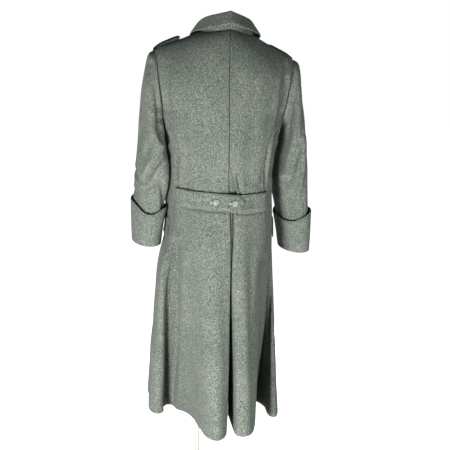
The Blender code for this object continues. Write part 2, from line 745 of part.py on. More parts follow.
def build_straps(shoulders):
    """Shoulder straps lying from the sleeve seam towards the neck."""
    for side, word in ((-1, "left"), (1, "right")):
        strip = shoulders[side]
        count = strip.shape[0]
        at = np.array([count - 1.02] + [float(c) for c in range(count - 2, 2, -1)])
        reach = np.linspace(0.0, 1.0, len(at))
        half = 0.024 * np.sqrt(np.clip(1.0 - np.clip((reach - 0.75) / 0.25, 0, 1) ** 2.2, 0.20, 1.0))
        grid = np.zeros((len(at), 5, 3))
        for i, c in enumerate(at):
            low, high = STRAP_Y - half[i], STRAP_Y + half[i]
            lines = [low]
            for k, y in enumerate((0.0, *strip[int(round(c)), (4, 5), 1])):
                lines.append(min(max(y, lines[-1] + 0.003), high - 0.003 * (3 - k)))
            for j, y in enumerate(lines + [high]):
                grid[i, j] = across(strip, c, y, 1)
        lift = np.full(grid.shape[:2], 0.0042 + LIFT + 0.0008)
        tip = 0.0042 if side < 0 else 0.0008
        lift = lift + tip * ease((reach - 0.40) / 0.60)[:, None]
        outer, normals = raise_up("shoulder_strap_" + word, grid, side > 0, lift, STRAP_GREEN, 0.0042)
        tilt = shared_normals([(outer, side > 0)])[0][-2, 2]
        build_button("button_strap_" + word, outer[-2, 2], tilt, 0.0070, 0.0030, HORN)


def build_flaps(grid):
    """Slanted pocket flaps on both hips."""
    last = grid.shape[0] - 1
    for side, word in ((-1, "left"), (1, "right")):
        points = np.zeros((7, 4, 3))
        for i in range(7):
            column = 3 + i if side < 0 else last - 3 - i
            for j, s in enumerate((0.0, 0.35, 0.7, 1.0)):
                height = 0.925 + 0.018 * i / 6.0 - 0.064 * (1.0 - s)
                points[i, j] = across(grid, float(column), height, 2)
        lift = np.full(points.shape[:2], WALL + (0.0010 if side < 0 else LIFT))
        raise_up("pocket_flap_" + word, points, side < 0, lift, WOOL)


def build_front_buttons(tree):
    """Two rows of buttons down the overlapping front."""
    for k in range(5):
        z = 1.335 - 0.105 * k
        for side in (-1, 1):
            wide = 0.062 + 0.010 * ease((z - 1.0) / 0.35)
            x = -0.012 + side * wide
            hit = tree.ray_cast(Vector((x, 0.6, z)), Vector((0.0, -1.0, 0.0)))
            word = "left" if side < 0 else "right"
            place = hit[0] + hit[1] * LIFT
            build_button("button_%s_%d" % (word, k + 1), place, hit[1], 0.011, 0.005, HORN)


def seat_shoulders(verts, tree):
    """Raise the shoulders of the form until they carry the coat."""
    verts = np.array(verts)
    for side in (-1, 1):
        reach = side * (verts[:, 0] + 0.003)
        weight = ease((reach - 0.07) / 0.05) * ease((verts[:, 2] - 1.365) / 0.04)
        room = []
        for vert in verts[weight > 0.98]:
            hit = tree.ray_cast(Vector(vert), Vector((0.0, 0.0, 1.0)))
            if hit[0] is not None:
                room.append(hit[3])
        verts[:, 2] += weight * (min(room) - SEAT)
    return [tuple(v) for v in verts]


def build_form(tree):
    """Limbless torso of rings with a neck and a flat cap."""
    count = 36
    turn = np.arange(count) * 360.0 / count
    rows = (
        (0.740, 0.120, 0.070, 0.080), (0.746, 0.138, 0.084, 0.096), (0.775, 0.146, 0.092, 0.104),
        (0.860, 0.144, 0.092, 0.104), (0.950, 0.134, 0.086, 0.100), (1.020, 0.128, 0.082, 0.098),
        (1.100, 0.140, 0.100, 0.110), (1.180, 0.154, 0.116, 0.124), (1.260, 0.162, 0.122, 0.128),
        (1.320, 0.166, 0.116, 0.112), (1.370, 0.172, 0.098, 0.092), (1.400, 0.176, 0.078, 0.074),
        (1.4255, 0.166, 0.054, 0.054), (1.4445, 0.140, 0.042, 0.044), (1.4600, 0.108, 0.040, 0.044),
        (1.4740, 0.076, 0.044, 0.048), (1.4900, 0.058, 0.046, 0.050), (1.5120, 0.054, 0.044, 0.050),
        (1.5160, 0.050, 0.040, 0.046),
    )
    verts = []
    faces = []
    for z, half, back, front in rows:
        x, y = oval(turn, half, -back, front)
        ring = lean(np.stack([x, y, z + 0.0 * x], -1), False)
        verts.extend([tuple(p) for p in ring])
    for r in range(len(rows) - 1):
        for k in range(count):
            n = (k + 1) % count
            faces.append([r * count + k, r * count + n, (r + 1) * count + n, (r + 1) * count + k])
    faces.append(list(range(count))[::-1])
    faces.append([(len(rows) - 1) * count + k for k in range(count)])
    add_object("form_torso", seat_shoulders(verts, tree), faces, LINEN, 0.8)


def lathe(name, profile, centre, count, colour, rough, metal=0.0):
    """Turned piece on an upright axis; profile is radius, height from the bottom up."""
    verts = []
    faces = []
    for r, z in profile:
        for k in range(count):
            turn = 2.0 * math.pi * k / count
            verts.append((centre[0] + r * math.cos(turn), centre[1] + r * math.sin(turn), z))
    for r in range(len(profile) - 1):
        for k in range(count):
            n = (k + 1) % count
            faces.append([r * count + k, r * count + n, (r + 1) * count + n, (r + 1) * count + k])
    faces.append(list(range(count))[::-1])
    faces.append([(len(profile) - 1) * count + k for k in range(count)])
    return add_object(name, verts, faces, colour, rough, metal)


def build_stand():
    """Socket under the torso, pole and round base."""
    centre = (-COAT_X, -COAT_Y)
    gap = 0.0003
    lathe("stand_socket", ((0.020, 0.708), (0.024, 0.712), (0.024, 0.734), (0.030, 0.7397)), centre, 20, CREAM, 0.5)
    lathe("stand_pole", ((POLE_RADIUS, 0.0323), (POLE_RADIUS, 0.708 - gap)), centre, 16, CREAM, 0.4)
    base = ((BASE_RADIUS - 0.004, 0.0), (BASE_RADIUS, 0.004), (BASE_RADIUS, 0.010), (BASE_RADIUS - 0.006, 0.015),
            (0.060, 0.018), (0.026, 0.022), (0.018, 0.032))
    lathe("stand_base", base, centre, 40, CREAM, 0.5)


def build_body():
    """Backs, fronts and everything that lies on them."""
    left, right, folds = add_folds(back_grid(-1), back_grid(1))
    ring, first, middle = front_grid()
    lap = middle + 4
    back_lap = middle - 4
    pieces = [(left, True), (right, False), (ring, True)]
    fields = shared_normals(pieces)
    tree = surface_tree([(left[folds:], True), (right[folds:], False), (ring, True),
                         (np.stack([left[folds], right[folds]]), False)])
    thick("back_left", inset(left, last=True, top=True), fields[0], True, WOOL)
    thick("back_right", inset(right, last=True, top=True), fields[1], False, WOOL)
    over = inset(ring[:lap + 1], first=True, top=True)
    thick("front_left", over, fields[2][:lap + 1], True, WOOL)
    sunk = np.zeros(ring.shape[0])
    sunk[:lap + 1] = 1.0
    sunk[lap + 1] = 0.55
    sunk[lap + 2] = 0.12
    size = np.linalg.norm(fields[2], axis=-1, keepdims=True)
    unit = fields[2] / np.maximum(size, 1e-9)
    lowered = ring - unit * (FRONT_STEP * sunk)[:, None, None]
    under = inset(lowered[back_lap:], last=True, top=True)
    thick("front_right", under, fields[2][back_lap:], True, WOOL)
    build_belt(np.concatenate([left[folds:][::-1], right[folds:]])[:, :len(SKIRT_ROWS)])
    shoulders = {}
    for side, back in ((-1, left[folds:]), (1, right[folds:])):
        fronts = ring[first:middle + 1][::-1] if side < 0 else ring[middle:ring.shape[0] - first]
        rows = np.concatenate([back[len(BACK_STEPS):, -4:], fronts[len(NECK_STEPS):, -4:-1][:, ::-1]], axis=1)
        shoulders[side] = rows
    build_straps(shoulders)
    build_flaps(ring[:, :len(SKIRT_ROWS)])
    build_front_buttons(tree)
    inside = [(left - fields[0] * WALL, True), (right - fields[1] * WALL, False)]
    return surface_tree(inside + [(ring - fields[2] * WALL, True)])


def main():
    for thing in list(bpy.data.objects):
        bpy.data.objects.remove(thing, do_unlink=True)
    inside = build_body()
    build_sleeve(-1, "left")
    build_sleeve(1, "right")
    build_collar()
    build_form(inside)
    build_stand()


main()
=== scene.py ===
"""Military greatcoat on a limbless dress form: cloth, buttons, form, stand and studio.

Metres, +Z up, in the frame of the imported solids. The back of the coat faces -Y
and the wearer's right is +X. Body tables are in the coat's own frame, whose
middle stands at COAT_X, COAT_Y.
"""
import math

import bpy
import numpy as np
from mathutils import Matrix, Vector, noise
from mathutils.kdtree import KDTree


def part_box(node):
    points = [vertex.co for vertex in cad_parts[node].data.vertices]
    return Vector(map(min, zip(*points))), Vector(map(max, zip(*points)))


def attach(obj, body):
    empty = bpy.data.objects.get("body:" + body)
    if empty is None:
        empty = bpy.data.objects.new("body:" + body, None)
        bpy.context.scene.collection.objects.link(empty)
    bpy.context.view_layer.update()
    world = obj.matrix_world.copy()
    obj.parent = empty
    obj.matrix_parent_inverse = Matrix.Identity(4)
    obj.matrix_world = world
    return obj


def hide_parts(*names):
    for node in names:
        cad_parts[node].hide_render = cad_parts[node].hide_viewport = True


bl_info = {
    "name": "Greatcoat on a dress form",
    "version": (1, 0, 0),
    "blender": (4, 5, 0),
    "location": "3D View > Sidebar > Greatcoat",
    "description": "Builds a wool greatcoat on a dress form with its stand and studio",
    "category": "Object",
}

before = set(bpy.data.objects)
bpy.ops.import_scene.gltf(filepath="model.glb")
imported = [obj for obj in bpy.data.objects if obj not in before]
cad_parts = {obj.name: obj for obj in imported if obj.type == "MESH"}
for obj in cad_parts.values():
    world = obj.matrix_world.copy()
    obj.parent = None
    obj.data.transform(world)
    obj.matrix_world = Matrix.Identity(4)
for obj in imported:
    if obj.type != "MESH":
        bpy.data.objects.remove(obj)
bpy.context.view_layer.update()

# Cloth
WALL = 0.003
LIFT = 0.0005
ROLL = 0.0012
EDGE_REACH = 0.0032
EDGE_STEP = 0.001
SEAM_REACH = 0.0060
SEAM_SINK = 0.0018
# Grid lines between two rows and two columns of the tables, and columns from the middle to the lap's edge
FINE = 5
ACROSS = 8
LAP_COLUMNS = 4 * ACROSS
# Coat, in its own frame
COAT_X = 0.085
COAT_Y = -0.060
COAT = np.array([COAT_X, COAT_Y, 0.0])
HEM_Z = 0.295
WAIST_Z = 1.000
SEAM_TOP_Z = 1.254
SEAM_ANGLE = 68.0
ARM_ANGLE = 104.5
ROUND = 0.87
SHOULDER_DROP = 0.055
NECK_HALF = 0.088
NECK_BACK = 0.075
NECK_FRONT = 0.100
FRONT_STEP = 0.0035
STRAP_Y = 0.020
FLAP_Z = 0.925
FLAP_SLANT = 0.018
FLAP_DEEP = 0.064
BELT_TIP = 0.025
SIDES = ((-1, "left"), (1, "right"))
ALL_FREE = ("first", "last", "bottom", "top")
# Fullness at the front's side: middle angle and spread, used by the body and its slimmer right side
FULL_ANGLE = 116.0
FULL_SPREAD = 26.0

# Body ovals: height, half width, back y, front y, fullness of the front's side
BODY = (
    (0.740, 0.1700, -0.1420, 0.1420, 0.020),
    (0.900, 0.1640, -0.1360, 0.1360, 0.024),
    (0.960, 0.1590, -0.1310, 0.1310, 0.027),
    (1.000, 0.1570, -0.1290, 0.1310, 0.028),
    (1.050, 0.1570, -0.1290, 0.1330, 0.028),
    (1.120, 0.1650, -0.1370, 0.1410, 0.020),
    (1.200, 0.1775, -0.1450, 0.1490, 0.008),
    (1.300, 0.1880, -0.1500, 0.1500, 0.000),
)
# Shoulder line: distance from the middle, height
RIDGE = (
    (0.0000, 1.5300),
    (0.0880, 1.4970),
    (0.1140, 1.4840),
    (0.1330, 1.4750),
    (0.1580, 1.4650),
    (0.1760, 1.4575),
    (0.1940, 1.4495),
    (0.2060, 1.4420),
    (0.2165, 1.4340),
)
# Lean of the figure: height, centre x
LEAN = (
    (0.300, -0.0120),
    (1.000, -0.0120),
    (1.300, -0.0110),
    (1.430, -0.0030),
    (1.490, 0.0010),
    (1.560, 0.0080),
)
# Centre back pleat: height, left edge x, gap, depth, drift of the depth to the right
PLEAT = (
    (0.295, -0.0340, 0.0240, 0.148, 0.019),
    (0.450, -0.0250, 0.0180, 0.125, 0.013),
    (0.600, -0.0185, 0.0100, 0.100, 0.008),
    (0.750, -0.0125, 0.0050, 0.070, 0.004),
    (0.900, -0.0085, 0.0120, 0.042, 0.000),
    (0.970, -0.0095, 0.0160, 0.034, 0.000),
    (1.020, -0.0115, 0.0260, 0.030, 0.000),
    (1.060, -0.0120, 0.0180, 0.024, 0.000),
    (1.120, -0.0125, 0.0024, 0.012, 0.000),
    (1.300, -0.0135, 0.0022, 0.010, 0.000),
    (1.450, -0.0060, 0.0018, 0.008, 0.000),
    (1.500, 0.0014, 0.0014, 0.008, 0.000),
    (1.560, 0.0076, 0.0006, 0.007, 0.000),
)
# Floor of the pleat: height, depth at the left edge, in the middle and at the right edge
FLOOR = (
    (0.700, 0.0130, 0.0060, 0.0140),
    (0.960, 0.0150, 0.0070, 0.0150),
    (1.000, 0.0085, 0.0060, 0.0130),
    (1.050, 0.0055, 0.0035, 0.0085),
    (1.090, 0.0060, 0.0030, 0.0050),
    (1.120, 0.0070, 0.0060, 0.0060),
    (1.560, 0.0070, 0.0060, 0.0060),
)
# Hem seen from above, from the pleat's edge to the side seam: x, y
HEM_LEFT = (
    (-0.034, -0.222), (-0.046, -0.248), (-0.070, -0.264), (-0.093, -0.240),
    (-0.107, -0.161), (-0.117, -0.077), (-0.137, -0.012), (-0.158, 0.018),
    (-0.185, 0.038),
)
HEM_RIGHT = (
    (-0.010, -0.212), (-0.003, -0.238), (0.011, -0.249), (0.031, -0.243),
    (0.051, -0.213), (0.067, -0.155), (0.081, -0.095), (0.095, -0.035),
    (0.110, 0.022),
)
# Hem from the left side seam round the front to the right side seam: x, y
HEM_FRONT = (
    (-0.185, 0.038), (-0.203, 0.000), (-0.226, -0.017), (-0.243, 0.004),
    (-0.248, 0.050), (-0.238, 0.096), (-0.224, 0.132), (-0.236, 0.172),
    (-0.236, 0.212), (-0.205, 0.236), (-0.170, 0.222), (-0.136, 0.242),
    (-0.100, 0.272), (-0.050, 0.283), (0.000, 0.285), (0.050, 0.278),
    (0.092, 0.262), (0.124, 0.232), (0.158, 0.216), (0.176, 0.176),
    (0.160, 0.122), (0.150, 0.076), (0.165, 0.030), (0.168, -0.022),
    (0.160, -0.076), (0.141, -0.108), (0.127, -0.098), (0.124, -0.065),
    (0.127, -0.028), (0.122, 0.000), (0.110, 0.022),
)
# Plain flare of the hem under the flutes: centre x, half width, back y, front y
FLARE = (-0.036, 0.205, -0.172, 0.225)
# Sleeve rings: step, outer x, outer z, inner x, inner z, middle y, half depth, drop at the back
SLEEVE = (
    (0.00, 0.2165, 1.4340, 0.1840, 1.2350, 0.000, 0.062, 0.000),
    (0.06, 0.2360, 1.4200, 0.1870, 1.2220, 0.000, 0.070, 0.000),
    (0.12, 0.2455, 1.3700, 0.1890, 1.2120, 0.000, 0.075, 0.000),
    (0.20, 0.2530, 1.3000, 0.1900, 1.2000, 0.000, 0.079, 0.000),
    (0.30, 0.2590, 1.2250, 0.1900, 1.1780, 0.000, 0.081, 0.003),
    (0.42, 0.2630, 1.1500, 0.1850, 1.1300, -0.002, 0.079, 0.006),
    (0.54, 0.2680, 1.0850, 0.1770, 1.0750, 0.004, 0.075, 0.009),
    (0.66, 0.2740, 1.0200, 0.1790, 1.0150, 0.022, 0.071, 0.011),
    (0.78, 0.2790, 0.9550, 0.1890, 0.9500, 0.042, 0.066, 0.012),
    (0.90, 0.2830, 0.8900, 0.1955, 0.8850, 0.060, 0.065, 0.011),
    (1.00, 0.2850, 0.8350, 0.1985, 0.8300, 0.074, 0.066, 0.010),
)
# Hang of the sleeves: step, left and right shift x, left and right lift, left and right twist
SWING = (
    (0.00, 0.000, 0.000, 0.000, 0.000, 0.000, 0.000),
    (0.12, 0.004, 0.000, 0.000, 0.000, 0.003, 0.000),
    (0.30, 0.006, 0.001, 0.000, 0.000, 0.010, -0.008),
    (0.54, 0.005, -0.002, 0.003, -0.002, 0.018, -0.020),
    (0.78, 0.007, 0.006, 0.004, -0.004, 0.009, -0.016),
    (1.00, 0.009, 0.014, 0.003, -0.005, 0.000, -0.010),
)
# Seam at the back of the sleeve: step, turn
HIND_SEAM = ((0.0, 108.0), (0.5, 96.0), (0.8, 72.0), (1.0, 66.0))
FORE_SEAM = -122.0
# Collar: part of the way round from the back, roll height, roll out, edge out, edge height
COLLAR = (
    (0.00, 0.052, 0.008, 0.031, 0.014),
    (0.22, 0.046, -0.002, 0.023, 0.006),
    (0.42, 0.033, -0.011, 0.0175, -0.003),
    (0.60, 0.030, -0.010, 0.022, -0.011),
    (0.80, 0.032, -0.004, 0.026, -0.020),
    (1.00, 0.036, 0.001, 0.030, -0.036),
)
# Half belt: x, middle height, half height
BELT = (
    (-0.165, 1.0075, 0.0245),
    (-0.120, 1.0000, 0.0265),
    (-0.033, 0.9890, 0.0285),
    (0.031, 0.9855, 0.0275),
    (0.120, 0.9865, 0.0310),
)
SKIRT_ROWS = (
    0.295, 0.390, 0.480, 0.570, 0.660, 0.745, 0.825, 0.890, 0.945, 1.000, 1.055, 1.115, 1.170, 1.215, 1.254,
)
YOKE_ROWS = (0.0, 0.13, 0.27, 0.41, 0.55, 0.70, 0.85, 1.0)
BACK_STEPS = (0.0, 7.0, 14.0, 21.0, 28.0, 36.0, 46.0, 59.0, 75.0)
NECK_STEPS = (0.0, 15.0, 30.0, 45.0, 60.0, 75.0)
SHOULDER_STEPS = (0.0, 0.12, 0.24, 0.35, 0.50, 0.67, 0.84, 1.0)
UNDERARM_STEPS = (0.0, 0.15, 0.3, 0.45, 0.62, 0.8)
# Dress form: height, half width, back y, front y
FORM = (
    (0.740, 0.120, 0.070, 0.080), (0.746, 0.138, 0.084, 0.096), (0.775, 0.146, 0.092, 0.104),
    (0.860, 0.144, 0.092, 0.104), (0.950, 0.134, 0.086, 0.100), (1.020, 0.128, 0.082, 0.098),
    (1.100, 0.140, 0.100, 0.110), (1.180, 0.154, 0.116, 0.124), (1.260, 0.162, 0.122, 0.128),
    (1.320, 0.166, 0.116, 0.112), (1.370, 0.172, 0.098, 0.092), (1.400, 0.176, 0.078, 0.074),
    (1.4255, 0.166, 0.054, 0.054), (1.4445, 0.140, 0.042, 0.044), (1.4600, 0.108, 0.040, 0.044),
    (1.4740, 0.076, 0.044, 0.048), (1.4900, 0.058, 0.046, 0.050), (1.5120, 0.054, 0.044, 0.050),
    (1.5160, 0.050, 0.040, 0.046),
)

# Creases: side they are seen from, width, depth (a ridge is negative), and their
# course as pairs across and up, in the part's frame: x, z from the back and the
# front, y, z from the left and the right
SLEEVE_CREASES = (
    ("back", 0.013, 0.0230, ((-0.142, 1.400), (-0.137, 1.330), (-0.130, 1.250), (-0.122, 1.190))),
    ("back", 0.009, 0.0150, ((-0.137, 1.242), (-0.123, 1.197), (-0.101, 1.154))),
    ("back", 0.008, 0.0104, ((-0.126, 1.246), (-0.108, 1.228))),
    ("back", 0.008, 0.0140, ((-0.100, 1.150), (-0.125, 1.120), (-0.150, 1.090), (-0.172, 1.045))),
    ("back", 0.007, 0.0076, ((-0.168, 1.028), (-0.113, 1.061))),
    ("back", 0.009, 0.0085, ((-0.120, 1.040), (-0.112, 0.997), (-0.110, 0.950))),
    ("back", 0.009, 0.0057, ((-0.150, 1.180), (-0.176, 1.110))),
    ("back", 0.008, -0.0066, ((0.308, 1.330), (0.298, 1.195), (0.278, 1.110))),
    ("back", 0.012, 0.0160, ((0.277, 1.360), (0.272, 1.265), (0.262, 1.172), (0.252, 1.078))),
    ("back", 0.008, -0.0057, ((0.325, 1.180), (0.318, 1.075), (0.307, 0.960))),
    ("back", 0.009, 0.0085, ((0.304, 1.165), (0.292, 1.110), (0.283, 1.050))),
    ("back", 0.008, 0.0066, ((0.268, 1.050), (0.305, 1.025))),
    ("front", 0.008, 0.0095, ((-0.112, 1.105), (-0.165, 1.085))),
    ("front", 0.007, 0.0085, ((-0.115, 1.060), (-0.160, 1.030))),
    ("front", 0.007, 0.0066, ((-0.118, 1.150), (-0.150, 1.160))),
    ("front", 0.011, 0.0085, ((-0.138, 1.400), (-0.132, 1.320), (-0.128, 1.240))),
    ("front", 0.009, -0.0057, ((-0.165, 1.330), (-0.160, 1.200))),
    ("front", 0.008, 0.0095, ((0.268, 1.095), (0.320, 1.070))),
    ("front", 0.007, 0.0085, ((0.270, 1.050), (0.315, 1.015))),
    ("front", 0.007, 0.0057, ((0.272, 1.140), (0.300, 1.155))),
    ("front", 0.011, 0.0085, ((0.300, 1.385), (0.294, 1.300), (0.288, 1.220))),
    ("front", 0.009, -0.0047, ((0.325, 1.300), (0.318, 1.170))),
    ("left", 0.012, 0.0057, ((-0.090, 1.300), (-0.070, 1.180), (-0.085, 1.090))),
    ("left", 0.009, 0.0066, ((-0.010, 1.085), (-0.075, 1.055))),
    ("left", 0.009, 0.0057, ((0.000, 1.020), (-0.050, 1.000))),
    ("right", 0.012, 0.0057, ((-0.080, 1.290), (-0.060, 1.170), (-0.080, 1.080))),
    ("right", 0.009, 0.0066, ((-0.005, 1.070), (-0.070, 1.045))),
    ("right", 0.009, 0.0047, ((0.010, 1.000), (-0.045, 0.985))),
)
BODY_CREASES = (
    ("back", 0.0045, 0.0042, ((-0.101, 1.236), (-0.088, 1.197), (-0.076, 1.158), (-0.074, 1.131),
                             (-0.075, 1.024), (-0.081, 0.993), (-0.098, 0.870))),
    ("back", 0.0045, 0.0040, ((0.230, 1.236), (0.214, 1.197), (0.201, 1.158), (0.196, 1.100),
                             (0.194, 1.024), (0.196, 0.993), (0.206, 0.870))),
    ("back", 0.010, 0.0045, ((-0.118, 1.400), (-0.108, 1.340), (-0.100, 1.270))),
    ("back", 0.009, 0.0053, ((0.262, 1.407), (0.260, 1.380), (0.255, 1.345))),
    ("back", 0.013, 0.0130, ((0.258, 1.350), (0.250, 1.250), (0.238, 1.160), (0.224, 1.070))),
    ("back", 0.0045, 0.0085, ((-0.058, 0.975), (-0.018, 0.971), (0.056, 0.964), (0.119, 0.957),
                             (0.196, 0.959))),
    ("back", 0.016, 0.0033, ((-0.020, 1.360), (0.000, 1.220), (0.004, 1.080))),
    ("back", 0.016, 0.0030, ((0.150, 1.340), (0.140, 1.200), (0.135, 1.060))),
    ("back", 0.012, 0.0033, ((-0.058, 1.200), (-0.050, 1.120), (-0.046, 1.040))),
    ("back", 0.010, 0.0030, ((0.200, 1.160), (0.190, 1.090), (0.180, 1.030))),
    ("back", 0.007, 0.0030, ((-0.062, 1.046), (-0.036, 1.060))),
    ("back", 0.007, 0.0024, ((0.172, 1.036), (0.148, 1.052))),
    ("back", 0.016, 0.0330, ((-0.088, 0.850), (-0.091, 0.680), (-0.092, 0.584), (-0.093, 0.454),
                            (-0.097, 0.300))),
    ("back", 0.008, 0.0080, ((0.099, 1.075), (0.103, 1.045), (0.106, 1.010))),
    ("back", 0.012, -0.0080, ((0.078, 0.660), (0.076, 0.450), (0.073, 0.300))),
    ("back", 0.020, 0.0045, ((-0.055, 0.900), (-0.050, 0.700), (-0.045, 0.480))),
    ("back", 0.018, 0.0045, ((0.150, 0.900), (0.146, 0.700), (0.150, 0.480))),
    ("back", 0.010, 0.0027, ((-0.088, 0.812), (-0.060, 0.760))),
    ("left", 0.016, 0.0060, ((0.060, 0.900), (0.072, 0.700), (0.080, 0.480))),
    ("left", 0.014, 0.0045, ((0.010, 0.860), (0.006, 0.700), (-0.010, 0.560))),
    ("right", 0.016, 0.0060, ((0.080, 0.880), (0.075, 0.700), (0.060, 0.480))),
    ("right", 0.014, 0.0045, ((0.010, 0.880), (-0.004, 0.720), (-0.020, 0.560))),
    ("front", 0.014, 0.0067, ((-0.060, 0.900), (-0.076, 0.700), (-0.084, 0.450))),
    ("front", 0.012, 0.0045, ((-0.100, 1.030), (-0.060, 1.010))),
    ("front", 0.012, 0.0045, ((0.245, 1.025), (0.205, 1.005))),
    ("front", 0.012, 0.0045, ((-0.075, 1.330), (-0.060, 1.220), (-0.040, 1.120))),
    ("front", 0.012, 0.0045, ((0.235, 1.320), (0.220, 1.220), (0.200, 1.120))),
    ("front", 0.014, 0.0067, ((0.215, 0.900), (0.222, 0.700), (0.228, 0.450))),
    ("front", 0.016, 0.0037, ((0.030, 0.880), (0.024, 0.680), (0.030, 0.480))),
    ("front", 0.016, 0.0037, ((0.140, 0.860), (0.146, 0.660), (0.140, 0.480))),
    ("front", 0.010, 0.0037, ((-0.045, 1.460), (-0.010, 1.420))),
    ("front", 0.010, 0.0037, ((0.215, 1.440), (0.180, 1.405))),
)
# Deep valley that goes straight in from the back, right of the right flute
BODY_VALLEYS = (
    ("back", 0.017, 0.0300, ((0.191, 0.800), (0.187, 0.680), (0.186, 0.573), (0.186, 0.441),
                             (0.188, 0.250))),
)
VIEWS = {
    "back": (0, np.array([0.0, -1.0, 0.0])),
    "front": (0, np.array([0.0, 1.0, 0.0])),
    "left": (1, np.array([-1.0, 0.0, 0.0])),
    "right": (1, np.array([1.0, 0.0, 0.0])),
}

# How far the cuffs' top edges rise, every 30 degrees round the sleeve
CUFF_LIFT = {
    -1: (-0.016, -0.014, -0.009, -0.026, -0.052, -0.040, -0.026,
         -0.020, -0.016, -0.016, -0.016, -0.016, -0.016),
    1: (-0.024, -0.035, -0.055, -0.052, -0.017, 0.008, -0.010,
        0.000, 0.000, 0.000, -0.004, -0.012, -0.024),
}

# Where the windows aim, and the camera as fitted to the photo
COAT_MIDDLE = (0.05, -0.06, 0.80)
FLOOR_HALF = 40.0
SENSOR_MM = 36.0
CAMERA_AT = (-0.3665, -2.6205, 1.296)
CAMERA_YAW = -10.0
CAMERA_DOWN = 8.605
CAMERA_FOCAL_PX = 826.0
PHOTO_PX = 450


def track(rows, at, loose=False):
    """Smooth curve through the rows of a table; the first column is the key."""
    rows = np.asarray(rows, float)
    key = rows[:, 0]
    val = rows[:, 1:]
    step = np.diff(key)[:, None]
    chord = np.diff(val, axis=0) / step
    slope = np.zeros_like(val)
    slope[0] = chord[0]
    slope[-1] = chord[-1]
    slope[1:-1] = 0.5 * (chord[:-1] + chord[1:])
    if not loose:
        same = chord[:-1] * chord[1:] > 0.0
        least = np.minimum(np.abs(chord[:-1]), np.abs(chord[1:]))
        cap = np.sign(chord[1:]) * np.minimum(np.abs(slope[1:-1]), 3.0 * least)
        slope[1:-1] = np.where(same, cap, 0.0)
    at = np.clip(np.asarray(at, float), key[0], key[-1])
    i = np.clip(np.searchsorted(key, at, side="right") - 1, 0, len(key) - 2)
    h = (key[i + 1] - key[i])[..., None]
    t = (at - key[i])[..., None] / h
    value = val[i] * (2 * t**3 - 3 * t**2 + 1) + val[i + 1] * (3 * t**2 - 2 * t**3)
    return value + h * (slope[i] * (t**3 - 2 * t**2 + t) + slope[i + 1] * (t**3 - t**2))


def ease(t):
    """Soft step from 0 to 1."""
    t = np.clip(t, 0.0, 1.0)
    return t * t * (3.0 - 2.0 * t)


def reach_along(points):
    """Distance along a line of points up to each of them."""
    return np.concatenate([[0.0], np.cumsum(np.linalg.norm(np.diff(points, axis=0), axis=1))])


def point_at(where, keys, points):
    """Point of a line where its keys reach a value."""
    return np.array([np.interp(where, keys, points[:, k]) for k in range(3)])


def evened(values):
    """Inner values of a line mixed with their neighbours, a quarter of each."""
    return 0.25 * values[:-2] + 0.5 * values[1:-1] + 0.25 * values[2:]


def ring_faces(rings, count):
    """Faces of a tube of rings with a lid at each end."""
    faces = []
    for r in range(rings - 1):
        for k in range(count):
            n = (k + 1) % count
            faces.append((r * count + k, r * count + n, (r + 1) * count + n, (r + 1) * count + k))
    faces.append(tuple(range(count))[::-1])
    faces.append(tuple((rings - 1) * count + k for k in range(count)))
    return faces


def node_centre(node):
    """Middle of a node's box in the frame."""
    low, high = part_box(node)
    return np.array([(low[k] + high[k]) / 2.0 for k in range(3)])


def bell(value, middle, spread):
    """Bell curve, 1 in the middle."""
    return np.exp(-(((value - middle) / spread) ** 2))


def between(values, count):
    """Values with count even steps in each gap."""
    values = np.asarray(values, float)
    rank = np.arange(len(values))
    return np.interp(np.linspace(0, len(values) - 1, (len(values) - 1) * count + 1), rank, values)


LOW_ROWS = between(SKIRT_ROWS, 2 * FINE)


def by_length(points):
    """Table of a plan curve keyed by its share of the whole length."""
    points = np.asarray(points, float)
    part = reach_along(points)
    return np.column_stack([part / part[-1], points])


def oval(angle, half, back, front):
    """Point of a rounded oval; angle 0 is the centre back, 90 the wearer's right."""
    s = np.sin(np.radians(angle))
    c = np.cos(np.radians(angle))
    x = half * np.sign(s) * np.abs(s) ** ROUND
    y = np.where(c > 0.0, back, front) * np.abs(c) ** ROUND
    return x, y


def body_section(angle, height):
    """Body surface below the arms in the upright frame."""
    half, back, front, full = np.moveaxis(track(BODY, height), -1, 0)
    x, y = oval(angle, half, back, front)
    x = x + full * bell(angle, FULL_ANGLE, FULL_SPREAD)
    return np.stack([x, y, height + 0.0 * x], -1)


def armhole(turn):
    """Armhole loop of the right side; turn 0 is the shoulder tip and 90 the back."""
    row = SLEEVE[0]
    c = np.cos(np.radians(turn))
    s = np.sin(np.radians(turn))
    x, z = (0.5 * (row[k] + row[k + 2]) + 0.5 * (row[k] - row[k + 2]) * c for k in (1, 2))
    return np.stack([x, -row[6] * s, z], -1)


def loop_turn(height, front):
    """Turn of the armhole loop at a height, on its back or its front half."""
    row = SLEEVE[0]
    c = (height - 0.5 * (row[2] + row[4])) / (0.5 * (row[2] - row[4]))
    turn = math.degrees(math.acos(c))
    return 360.0 - turn if front else turn


SEAM_TURN = loop_turn(SEAM_TOP_Z, False)
CHEST_Z = SEAM_TOP_Z + 0.008
CHEST_TURN = loop_turn(CHEST_Z, True)


def slimmer(angle, height, side):
    """Shift in x: the right side has less fullness, the left hip is pressed in by the cuff."""
    full = track(BODY, height)[..., 3] * bell(angle, FULL_ANGLE, FULL_SPREAD)
    press = 0.019 * bell(angle, 96.0, 34.0) * bell(height, 0.895, 0.075)
    return np.where(side > 0.0, -0.65 * full * ease((column_top(angle) - height) / 0.10), press)


def armhole_foot(angle):
    """Point of the armhole's lower edge over an angle of the body."""
    around = np.clip((angle - SEAM_ANGLE) / (ARM_ANGLE - SEAM_ANGLE), 0.0, 1.0)
    return armhole(SEAM_TURN + (CHEST_TURN - SEAM_TURN) * around)


